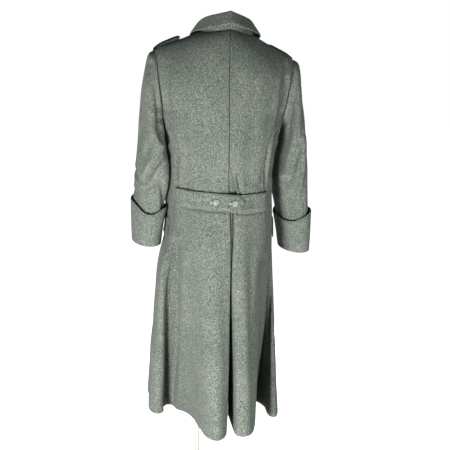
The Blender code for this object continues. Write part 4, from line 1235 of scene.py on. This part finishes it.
def cuff_grid(side):
    """Turned-back cuff, closed all round."""
    turns = np.linspace(0.0, 360.0, 97)
    rows = np.concatenate([[0.0, 0.006, 0.016], np.linspace(0.04, 0.96, 22), [0.984, 0.994, 1.0]])
    grid = np.zeros((len(turns), len(rows), 3))
    s = np.sin(np.radians(turns))
    c = np.cos(np.radians(turns))
    high = 0.784 - 0.011 * c + 0.044 * np.maximum(s, 0.0) ** 2.5 - 0.019 * np.maximum(-s, 0.0) ** 2
    lift = CUFF_LIFT[side]
    wave = np.interp(turns, np.linspace(0.0, 360.0, len(lift)), lift)
    for _ in range(6):
        wave[1:-1] = evened(wave)
    high = high + wave
    for j, t in enumerate(rows):
        step = 1.0 + (high - 1.0) * t
        grow = WALL + 0.0006 + (0.0068 + 0.0016 * s) * t
        grid[:, j] = sleeve_point(side, step, turns, grow)
    grid[-1] = grid[0]
    return grid


def build_cuffs():
    """Deep turned-back cuffs that stand a little off the sleeves."""
    for side, word in SIDES:
        cloth("cuff_cloth_" + word, "cuff_" + word, cuff_grid(side), side > 0, (0.43, 0.15), "folded",
              ["sleeve_cloth_%s_top" % word], free=("bottom", "top"), closed=True)


def build_collar():
    """Collar that falls over its stand and closes at the throat."""
    grid = edged(collar_grid(), (0, -1), (0, 0), (1, -1))
    cloth("collar_cloth", "collar", grid, True, (0.62, 0.14), "folded",
          ["back_cloth_left", "back_cloth_right"], free=("first", "last", "top"))


def belt_grid(name):
    """Outer grid of one half of the belt, over both backs."""
    body = surfaces()
    skip = body["edge"] + 3
    strip = np.concatenate([body["left"][skip:][::-1], body["right"][skip:]])[:, :len(LOW_ROWS)] - COAT
    axis = np.array([across(strip, c, 0.99, 2)[0] for c in range(strip.shape[0])])
    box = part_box(name)
    start = box[0][0] - COAT_X + 0.0004
    end = box[1][0] - COAT_X
    xs = np.linspace(start, end, 60)
    if name == "belt_left":
        tip = end - BELT_TIP * (1.0 - np.sin(np.linspace(0.0, 0.5 * math.pi, 16)))
        xs = np.concatenate([np.linspace(start, end - BELT_TIP, 76)[:-1], tip])
    at = np.interp(xs, axis, np.arange(len(axis)))
    middle, half = np.moveaxis(track(BELT, xs), -1, 0)
    if name == "belt_left":
        over = np.clip((xs - (end - BELT_TIP)) / BELT_TIP, 0.0, 1.0)
        half = half * np.sqrt(np.maximum(1.0 - over**2.4, 0.004))
    ts = np.concatenate([[-1.0, -0.97, -0.92], np.linspace(-0.84, 0.84, 17), [0.92, 0.97, 1.0]])
    grid = laid_over(strip, at, middle[:, None] + half[:, None] * ts, 2)
    for _ in range(6):
        grid[1:-1, :, 1] = evened(grid[..., 1])
    lift = WALL + LIFT + 0.0020
    if name == "belt_left":
        lift = lift + (WALL + LIFT) * ease((xs + 0.045) / 0.030)
    normals = grid_normals(grid, False)
    lift = np.broadcast_to(lift, len(xs))[:, None] + 0.0020 * ease(0.5 * (ts + 1.0))[None, :]
    sag = 0.0010 * np.sin(np.linspace(0.0, 9.0, len(xs)))[:, None] * np.sin(np.linspace(0.0, math.pi, len(ts)))
    return grid + normals * (lift + sag)[..., None] + COAT


def build_half_belt():
    """Half belt in two pieces, the left one on top."""
    for name in ("belt_left", "belt_right"):
        grid = belt_grid(name)
        SURFACES[name] = grid
        width = 0.205 if name == "belt_left" else 0.13
        cloth(name + "_cloth", name, grid, False, (width, 0.066), "laid",
              ["back_cloth_left", "back_cloth_right"], free=ALL_FREE, roll=0.0022)


def build_pocket_flaps():
    """Slanted flaps of the hip pockets."""
    ring = surfaces()["ring"][:, :len(LOW_ROWS)]
    last = ring.shape[0] - 1
    for side, word in SIDES:
        at = np.linspace(1.3 if side < 0 else 0.0, 6.0, 49)
        downs = np.concatenate([[0.0, 0.02, 0.05], np.linspace(0.1, 0.9, 15), [0.95, 0.98, 1.0]])
        column = (3.0 + at) * ACROSS
        heights = (FLAP_Z + FLAP_SLANT * at / 6.0)[:, None] - FLAP_DEEP * (1.0 - downs)
        grid = soften(laid_over(ring, column if side < 0 else last - column, heights, 2), 3)
        normals = grid_normals(grid, side < 0)
        proud = WALL + 0.0012 + 0.0012 * (1.0 - downs)[None, :]
        grid = grid + normals * proud[..., None]
        SURFACES["flap_" + word] = grid
        cloth("pocket_flap_cloth_" + word, "pocket_flap_" + word, grid, side < 0, (0.17, 0.07), "hung",
              ["front_cloth_" + word], free=ALL_FREE)


def build_shoulder_straps():
    """Straps of dark badge cloth, darkened further as painted shade, sewn into the sleeve heads, free at the
    neck end.
    """
    body = surfaces()
    corner_back = len(BACK_STEPS) * ACROSS
    corner_front = len(NECK_STEPS) * ACROSS
    deep = 4 * FINE
    for side, word in SIDES:
        back = body[word][body["edge"]:] - COAT
        ring = body["ring"] - COAT
        first, middle = body["first"], body["middle"]
        front = ring[first:middle + 1][::-1] if side < 0 else ring[middle:ring.shape[0] - first]
        strip = np.concatenate([back[corner_back:, -deep:], front[corner_front:, -deep:-1][:, ::-1]], axis=1)
        count = strip.shape[0]
        at = np.linspace(count - 1.1, 3.0 * ACROSS, 60)
        reach = np.linspace(0.0, 1.0, len(at))
        over = np.clip((reach - 0.75) / 0.25, 0.0, 1.0)
        half = 0.024 * np.sqrt(np.clip(1.0 - over**2.2, 0.03, 1.0))
        ts = np.concatenate([[-1.0, -0.96, -0.9], np.linspace(-0.8, 0.8, 13), [0.9, 0.96, 1.0]])
        middle_y = STRAP_Y + (0.0 if side < 0 else 0.006)
        grid = soften(laid_over(strip, at, middle_y + half[:, None] * ts, 1), 3)
        normals = grid_normals(grid, side > 0)
        tip, hump, wall = (0.0042, 0.0040, 0.0050) if side < 0 else (0.0008, 0.0, 0.0032)
        lift = wall + LIFT + 0.0010 + tip * ease((reach - 0.40) / 0.60) + hump * np.sin(math.pi * reach)
        grid = grid + normals * lift[:, None, None] + COAT
        SURFACES["strap_" + word] = grid
        cloth("shoulder_strap_cloth_" + word, "shoulder_strap_" + word, grid, side > 0, (0.115, 0.049),
              "laid", ["back_cloth_" + word, "front_cloth_" + word], "strap", "strap_cloth",
              wall=wall, free=ALL_FREE, roll=0.0016)


def nearest_on(grid, flip, place):
    """Point and normal of a grid nearest to a place."""
    normals = grid_normals(grid, flip)
    away = np.linalg.norm(grid - np.asarray(place), axis=-1)
    away[np.isnan(away)] = 9.0
    i, j = np.unravel_index(np.argmin(away), away.shape)
    return grid[i, j], normals[i, j]


def turned(profile, count, centre, normal):
    """Verts and faces of a turned shape about a normal; profile is radius, height."""
    normal = Vector(normal).normalized()
    side = normal.orthogonal().normalized()
    other = normal.cross(side)
    verts = []
    for r, h in profile:
        for k in range(count):
            turn = 2.0 * math.pi * k / count
            away = (side * math.cos(turn) + other * math.sin(turn)) * r
            verts.append(Vector(centre) + away + normal * h)
    return verts, ring_faces(len(profile), count)


def build_buttons():
    """Pebbled buttons with a rim: half belt, straps and two rows down the front."""
    rim = ((0.55, 0.00), (0.86, 0.03), (0.97, 0.16), (1.00, 0.34), (0.99, 0.52), (0.94, 0.72), (0.87, 0.83),
           (0.80, 0.82), (0.75, 0.74), (0.70, 0.71), (0.55, 0.79), (0.36, 0.87), (0.16, 0.91), (0.03, 0.92))
    body = surfaces()
    for number in (1, 2):
        add_button("button_belt_%d" % number, SURFACES["belt_left"], False, 0.0095, 0.0050, rim)
    for side, word in SIDES:
        add_button("button_strap_" + word, SURFACES["strap_" + word], side > 0, 0.0070, 0.0032, rim)
        for number in range(1, 6):
            add_button("button_%s_%d" % (word, number), body["ring"], True, 0.0110, 0.0052, rim)


def add_button(node, grid, flip, radius, tall, rim):
    """One button on a cloth surface, where its node is."""
    centre = node_centre(node)
    place, normal = nearest_on(grid, flip, centre)
    place = centre + normal * float(np.dot(place - centre, normal))
    profile = [(r * radius, h * tall + 0.0002) for r, h in rim]
    verts, faces = turned(profile, 48, place, normal)
    piece = add_mesh(node + "_pebbled", verts, faces, finish_of("button"))
    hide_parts(node)


# Rings of one stitch: part of the way along, half width and rise in threads
STITCH_RINGS = ((0.0, 0.2, -0.4), (0.2, 1.0, 0.8), (0.5, 1.1, 1.3), (0.8, 1.0, 0.8), (1.0, 0.2, -0.4))


def stitches(name, lines, pitch=None, length=None, thick=None, key="thread"):
    """Run of small raised stitches along lines of points with their normals."""
    sizes = bpy.context.scene.greatcoat_sizes
    pitch = pitch or sizes.pitch
    length = length or sizes.stitch
    thick = thick or sizes.thread
    verts = []
    faces = []
    for points, normals in lines:
        points = np.asarray(points)
        reach = reach_along(points)
        for start in np.arange(0.5 * pitch, reach[-1] - length, pitch):
            a, b = (point_at(where, reach, points) for where in (start, start + length))
            at = min(int(np.searchsorted(reach, start)), len(points) - 1)
            up = normals[at]
            way = b - a
            side = np.cross(up, way)
            side = side / max(np.linalg.norm(side), 1e-9) * thick
            base = len(verts)
            for t, wide, high in STITCH_RINGS:
                spot = a + way * t + up * thick * high
                verts.extend([spot + side * wide, spot + up * thick * 0.7,
                              spot - side * wide, spot - up * thick * 1.2])
            for face in ring_faces(len(STITCH_RINGS), 4):
                faces.append(tuple(base + k for k in face))
    return add_mesh(name, verts, faces, finish_of(key))


def inset_line(grid, flip, axis, at, away, closed=False, span=None):
    """Line on a grid that runs a fixed distance inside one of its edges."""
    normals = grid_normals(grid, flip, closed)
    rows = np.moveaxis(grid, axis, 0)
    ways = np.moveaxis(normals, axis, 0)
    if at < 0:
        rows = rows[::-1]
        ways = ways[::-1]
    points = []
    ups = []
    for k in range(rows.shape[1]):
        column = rows[:, k]
        if np.isnan(column[:2]).any():
            continue
        reach = reach_along(column)
        points.append(point_at(away, reach, column))
        up = point_at(away, reach, ways[:, k])
        ups.append(up / max(np.linalg.norm(up), 1e-9))
    points = np.array(points)
    ups = np.array(ups)
    if span:
        points = points[span[0]:span[1]]
        ups = ups[span[0]:span[1]]
    return points + ups * 0.0002, ups


def build_stitching():
    """Topstitching on the edges, buttonholes on belt and front, tacks at the side seam."""
    body = surfaces()
    edge = 0.0065
    collar = collar_grid()
    ends = [inset_line(collar, True, 0, at, edge, span=(26, -3)) for at in (0, -1)]
    stitches("stitching_collar", [inset_line(collar, True, 1, -1, edge)] + ends)
    lines = [inset_line(SURFACES[name], False, 1, at, 0.005, span=(0, -9))
             for name in ("belt_left", "belt_right") for at in (0, -1)]
    lines.append(inset_line(SURFACES["belt_left"], False, 0, -1, 0.005, span=(3, -3)))
    stitches("stitching_half_belt", lines)
    lines = [inset_line(SURFACES["flap_" + word], side < 0, axis, at, 0.005, span=(3, -3))
             for side, word in SIDES for axis, at in ((1, 0), (0, 0), (0, -1))]
    stitches("stitching_pocket_flaps", lines)
    lines = [inset_line(SURFACES["strap_" + word], side > 0, 1, at, 0.004, span=(2, -8))
             for side, word in SIDES for at in (0, -1)]
    stitches("stitching_shoulder_straps", lines)
    lines = [inset_line(cuff_grid(side), side > 0, 1, -1, 0.006, closed=True) for side, _word in SIDES]
    stitches("stitching_cuffs", lines)
    over = front_part(True)
    stitches("stitching_front_edge", [inset_line(over, True, 0, -1, 0.007, span=(3, -2))])
    above_belt = 110
    lines = [inset_line(body[word][body["edge"]:, above_belt:], side < 0, 0, 0, 0.006, span=(0, -8))
             for side, word in SIDES]
    stitches("stitching_centre_back", lines)
    build_buttonholes()
    build_tacks()


def bar(points_on, flip, centre, way, length, wide, count):
    """Lines of close stitches that make a bar or one lip of a buttonhole."""
    lines = []
    way = np.asarray(way, float) / np.linalg.norm(way)
    for k in range(count):
        place = np.asarray(centre) + way * (k / (count - 1.0) - 0.5) * length
        point, up = nearest_on(points_on, flip, place)
        point = place + up * (np.dot(point - place, up) + 0.0003)
        side = np.cross(up, way)
        side = side / np.linalg.norm(side)
        lines.append((np.array([point - side * wide * 0.5, point + side * wide * 0.5]), [up, up]))
    return lines


def build_buttonholes():
    """Worked buttonholes beside the buttons."""
    body = surfaces()
    lines = []
    for number in (1, 2):
        for rise in (-0.0012, 0.0012):
            spot = node_centre("button_belt_%d" % number) + (-0.0140, 0.0, rise)
            lines += bar(SURFACES["belt_left"], False, spot, (1.0, 0.0, 0.0), 0.006, 0.0024, 9)
    stitches("buttonholes_half_belt", lines, pitch=0.0002, length=0.0022, thick=0.00040, key="tack")
    lines = []
    for word in ("left", "right"):
        for number in range(1, 6):
            for rise in (-0.0012, 0.0012):
                spot = node_centre("button_%s_%d" % (word, number)) + (0.0165, 0.0, rise)
                lines += bar(body["ring"], True, spot, (1.0, 0.0, 0.0), 0.010, 0.0022, 12)
    stitches("buttonholes_front", lines, pitch=0.0002, length=0.0020, thick=0.00035)


def build_tacks():
    """Pale bar tacks on the left side seam."""
    body = surfaces()
    lines = []
    for height in (0.811, 0.767):
        seam = body["left"][-3]
        place = point_at(height, seam[:, 2], seam)
        lines += bar(body["left"], True, place, (1.0, -0.4, 0.0), 0.006, 0.0020, 7)
    stitches("tacks_side_seam", lines, pitch=0.0002, length=0.0018, thick=0.00040, key="tack")


def build_form():
    """Linen-covered torso with a turned cap on the neck."""
    count = 96
    turn = np.arange(count) * 360.0 / count
    heights = np.concatenate([np.linspace(0.740, 0.775, 9)[:-1], np.linspace(0.775, 1.370, 60)[:-1],
                              np.linspace(1.370, 1.5160, 50)])
    verts = []
    for z, half, back, front in zip(heights, *np.moveaxis(track(FORM, heights), -1, 0)):
        x, y = oval(turn, half, -back, front)
        ring = lean(np.stack([x, y, z + 0.0 * x], -1), False)
        reach = np.abs(ring[:, 0] + 0.003)
        ring[:, 2] += 0.004 * ease((reach - 0.07) / 0.05) * ease((ring[:, 2] - 1.365) / 0.04)
        verts.extend([tuple(p + COAT) for p in ring])
    faces = ring_faces(len(heights), count)
    piece = add_mesh("form_cover", verts, faces, finish_of("form"))
    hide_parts("form_torso")


def build_stand():
    """Socket, pole and round base."""
    base_low, base_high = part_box("stand_base")
    pole_low, pole_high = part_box("stand_pole")
    socket_low, socket_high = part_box("stand_socket")
    radius = 0.5 * (base_high[0] - base_low[0])
    pole = 0.5 * (pole_high[0] - pole_low[0])
    shapes = (
        ("stand_base", (
            (radius - 0.004, 0.0), (radius - 0.0012, 0.0012), (radius, 0.004), (radius, 0.010),
            (radius - 0.0018, 0.0138), (radius - 0.006, 0.015), (0.120, 0.0166), (0.060, 0.018),
            (0.036, 0.0197), (0.026, 0.022), (0.0205, 0.027), (0.018, 0.032))),
        ("stand_pole", ((pole, pole_low[2]), (pole, 0.25), (pole, 0.5), (pole, pole_high[2]))),
        ("stand_socket", (
            (0.019, socket_low[2]), (0.022, socket_low[2] + 0.001), (0.024, socket_low[2] + 0.004),
            (0.024, 0.733), (0.0255, 0.7352), (0.030, socket_high[2]))),
    )
    for node, profile in shapes:
        verts, faces = turned(profile, 96, (0.0, 0.0, 0.0), (0.0, 0.0, 1.0))
        piece = add_mesh(node + "_painted", verts, faces, finish_of("stand"))
        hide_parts(node)


def build_stage():
    """Pale floor, soft lights and the camera at the photo's angle."""
    scene = bpy.context.scene
    setting = scene.greatcoat_stage
    material, nodes, links, shader = new_material("floor_white")
    shader.inputs["Base Color"].default_value = (0.35, 0.35, 0.35, 1.0)
    shader.inputs["Roughness"].default_value = 0.9
    shader.inputs["Specular IOR Level"].default_value = 0.1
    shader.inputs["Emission Color"].default_value = (1.0, 1.0, 1.0, 1.0)
    seen_by = nodes.new("ShaderNodeLightPath")
    glow = nodes.new("ShaderNodeMath")
    glow.operation = "MULTIPLY_ADD"
    glow.inputs[1].default_value = 1.0
    glow.inputs[2].default_value = setting.floor
    links.new(seen_by.outputs["Is Camera Ray"], glow.inputs[0])
    links.new(glow.outputs[0], shader.inputs["Emission Strength"])
    mesh = bpy.data.meshes.new("floor")
    corners = [(x * FLOOR_HALF, y * FLOOR_HALF, 0) for x, y in ((-1, -1), (1, -1), (1, 1), (-1, 1))]
    mesh.from_pydata(corners, [], [(0, 1, 2, 3)])
    mesh.materials.append(material)
    floor = bpy.data.objects.new("floor", mesh)
    scene.collection.objects.link(floor)
    world = bpy.data.worlds.new("studio")
    world.use_nodes = True
    nodes = world.node_tree.nodes
    light = nodes["Background"]
    light.inputs[1].default_value = setting.sky
    seen = nodes.new("ShaderNodeBackground")
    seen.inputs[1].default_value = 1.0
    path = nodes.new("ShaderNodeLightPath")
    choose = nodes.new("ShaderNodeMixShader")
    for k, source in enumerate((path.outputs["Is Camera Ray"], light.outputs[0], seen.outputs[0])):
        world.node_tree.links.new(source, choose.inputs[k])
    world.node_tree.links.new(choose.outputs[0], nodes["World Output"].inputs[0])
    light.inputs[0].default_value = (0.72, 1.0, 0.90, 1.0)
    seen.inputs[0].default_value = (1.0, 1.0, 1.0, 1.0)
    scene.world = world
    scene.view_settings.view_transform = "Standard"
    for name, place, target, size, power in (
        ("key_window", (-1.15, -1.85, 0.20), COAT_MIDDLE, 0.45, setting.key),
        ("fill_window", (1.05, -2.10, 0.28), COAT_MIDDLE, 0.60, 0.42 * setting.key),
        ("back_window", (1.00, 1.95, 0.40), COAT_MIDDLE, 0.45, setting.key),
        ("side_window_left", (-2.9, 0.9, 1.2), (0.0, 0.0, 0.9), 1.2, setting.side),
        ("side_window_right", (2.6, 1.8, 1.2), (0.0, 0.0, 0.9), 1.2, 0.3 * setting.side),
    ):
        lamp = bpy.data.lights.new(name, "AREA")
        lamp.size = size
        lamp.energy = power
        thing = bpy.data.objects.new(name, lamp)
        thing.location = place
        way = Vector(target) - Vector(place)
        thing.rotation_euler = way.to_track_quat("-Z", "Y").to_euler()
        scene.collection.objects.link(thing)
    camera = bpy.data.cameras.new("camera")
    camera.sensor_fit = "HORIZONTAL"
    camera.sensor_width = SENSOR_MM
    camera.lens = SENSOR_MM * CAMERA_FOCAL_PX / PHOTO_PX
    thing = bpy.data.objects.new("camera", camera)
    thing.location = CAMERA_AT
    thing.rotation_euler = (math.radians(90.0 - CAMERA_DOWN), 0.0, math.radians(CAMERA_YAW))
    scene.collection.objects.link(thing)
    scene.camera = thing


def colour_property(name, description, default):
    """Colour that can be picked in the panel."""
    return bpy.props.FloatVectorProperty(
        name=name, description=description, default=default, subtype="COLOR", min=0.0, max=1.0)


def length_property(name, description, default, low, high, precision=4):
    """Small length in metres."""
    return bpy.props.FloatProperty(
        name=name, description=description, default=default, min=low, max=high,
        unit="LENGTH", subtype="DISTANCE", precision=precision)


class GreatcoatColours(bpy.types.PropertyGroup):
    """Colours of the finishes"""

    wool: colour_property("Wool", "Middle colour of the heathered wool", (0.107, 0.124, 0.107))
    # Dark badge cloth, darkened further as painted shade for the straps' shaded edges
    strap: colour_property("Strap cloth", "Badge cloth of the shoulder straps", (0.005, 0.012, 0.008))
    button: colour_property("Button", "Painted metal of the buttons", (0.24, 0.26, 0.24))
    form: colour_property("Form cover", "Linen of the dress form", (0.66, 0.61, 0.52))
    stand: colour_property("Stand paint", "Cream paint of the stand", (0.52, 0.50, 0.45))


class GreatcoatSizes(bpy.types.PropertyGroup):
    """Sizes of the details"""

    creases: bpy.props.FloatProperty(
        name="Creases", description="Depth of the creases against those in the photo", default=1.0,
        min=0.0, max=1.2, subtype="FACTOR")
    pitch: length_property(
        "Stitch pitch", "Length of one stitch and the gap after it", 0.0042, 0.0035, 0.010)
    stitch: length_property(
        "Stitch", "Length of one topstitch that shows", 0.0030, 0.0010, 0.0034)
    thread: length_property(
        "Thread", "Half the thickness of the sewing thread", 0.00034, 0.0002, 0.0006, 5)


class GreatcoatStage(bpy.types.PropertyGroup):
    """Studio light"""

    sky: bpy.props.FloatProperty(name="Sky", description="Strength of the even light", default=0.12, min=0.0)
    floor: bpy.props.FloatProperty(name="Floor", description="Glow of the pale floor", default=0.12, min=0.0)
    key: bpy.props.FloatProperty(name="Key", description="Window light", default=89.0, min=0.0, unit="POWER")
    side: bpy.props.FloatProperty(
        name="Side", description="Lights at the sides", default=20.0, min=0.0, unit="POWER")


class MakePiece:
    """Shared execute of the operators that build pieces"""

    bl_options = {"REGISTER", "UNDO"}
    steps = ()

    def execute(self, context):
        for step in self.steps:
            step()
        return {"FINISHED"}


class GREATCOAT_OT_form(MakePiece, bpy.types.Operator):
    """Build the dress form and its stand"""

    bl_idname = "greatcoat.form"
    bl_label = "Dress form and stand"
    steps = (build_form, build_stand)


class GREATCOAT_OT_body(MakePiece, bpy.types.Operator):
    """Build the backs and the fronts"""

    bl_idname = "greatcoat.body"
    bl_label = "Backs and fronts"
    steps = (build_backs, build_fronts)


class GREATCOAT_OT_sleeves(MakePiece, bpy.types.Operator):
    """Build the sleeves and their turned-back cuffs"""

    bl_idname = "greatcoat.sleeves"
    bl_label = "Sleeves and cuffs"
    steps = (build_sleeves, build_cuffs)


class GREATCOAT_OT_collar(MakePiece, bpy.types.Operator):
    """Build the collar"""

    bl_idname = "greatcoat.collar"
    bl_label = "Collar"
    steps = (build_collar,)


class GREATCOAT_OT_trim(MakePiece, bpy.types.Operator):
    """Build the half belt, pocket flaps and shoulder straps"""

    bl_idname = "greatcoat.trim"
    bl_label = "Belt, flaps and straps"
    steps = (build_half_belt, build_pocket_flaps, build_shoulder_straps)


class GREATCOAT_OT_buttons(MakePiece, bpy.types.Operator):
    """Build the buttons"""

    bl_idname = "greatcoat.buttons"
    bl_label = "Buttons"
    steps = (build_buttons,)


class GREATCOAT_OT_stitching(MakePiece, bpy.types.Operator):
    """Sew the topstitching, buttonholes and tacks"""

    bl_idname = "greatcoat.stitching"
    bl_label = "Stitching"
    steps = (build_stitching,)


class GREATCOAT_OT_stage(MakePiece, bpy.types.Operator):
    """Set the floor, the lights and the camera"""

    bl_idname = "greatcoat.stage"
    bl_label = "Stage"
    steps = (build_stage,)


class GREATCOAT_PT_panel(bpy.types.Panel):
    """Greatcoat tools"""

    bl_idname = "GREATCOAT_PT_panel"
    bl_label = "Greatcoat"
    bl_space_type = "VIEW_3D"
    bl_region_type = "UI"
    bl_category = "Greatcoat"

    def draw(self, context):
        column = self.layout.column()
        for name in ("wool", "strap", "button", "form", "stand"):
            column.prop(context.scene.greatcoat_colours, name)
        for name in ("creases", "pitch", "stitch", "thread"):
            column.prop(context.scene.greatcoat_sizes, name)
        for name in ("sky", "floor", "key", "side"):
            column.prop(context.scene.greatcoat_stage, name)
        for operator in OPERATORS:
            column.operator(operator.bl_idname)


OPERATORS = (
    GREATCOAT_OT_form, GREATCOAT_OT_body, GREATCOAT_OT_sleeves, GREATCOAT_OT_collar,
    GREATCOAT_OT_trim, GREATCOAT_OT_buttons, GREATCOAT_OT_stitching, GREATCOAT_OT_stage,
)
CLASSES = (GreatcoatColours, GreatcoatSizes, GreatcoatStage) + OPERATORS + (GREATCOAT_PT_panel,)


def register():
    for each in CLASSES:
        bpy.utils.register_class(each)
    bpy.types.Scene.greatcoat_colours = bpy.props.PointerProperty(type=GreatcoatColours)
    bpy.types.Scene.greatcoat_sizes = bpy.props.PointerProperty(type=GreatcoatSizes)
    bpy.types.Scene.greatcoat_stage = bpy.props.PointerProperty(type=GreatcoatStage)


def unregister():
    del bpy.types.Scene.greatcoat_stage
    del bpy.types.Scene.greatcoat_sizes
    del bpy.types.Scene.greatcoat_colours
    for each in reversed(CLASSES):
        bpy.utils.unregister_class(each)


def main():
    register()
    bpy.ops.greatcoat.form()
    bpy.ops.greatcoat.body()
    bpy.ops.greatcoat.sleeves()
    bpy.ops.greatcoat.collar()
    bpy.ops.greatcoat.trim()
    bpy.ops.greatcoat.buttons()
    bpy.ops.greatcoat.stitching()
    bpy.ops.greatcoat.stage()


if __name__ == "__main__":
    main()
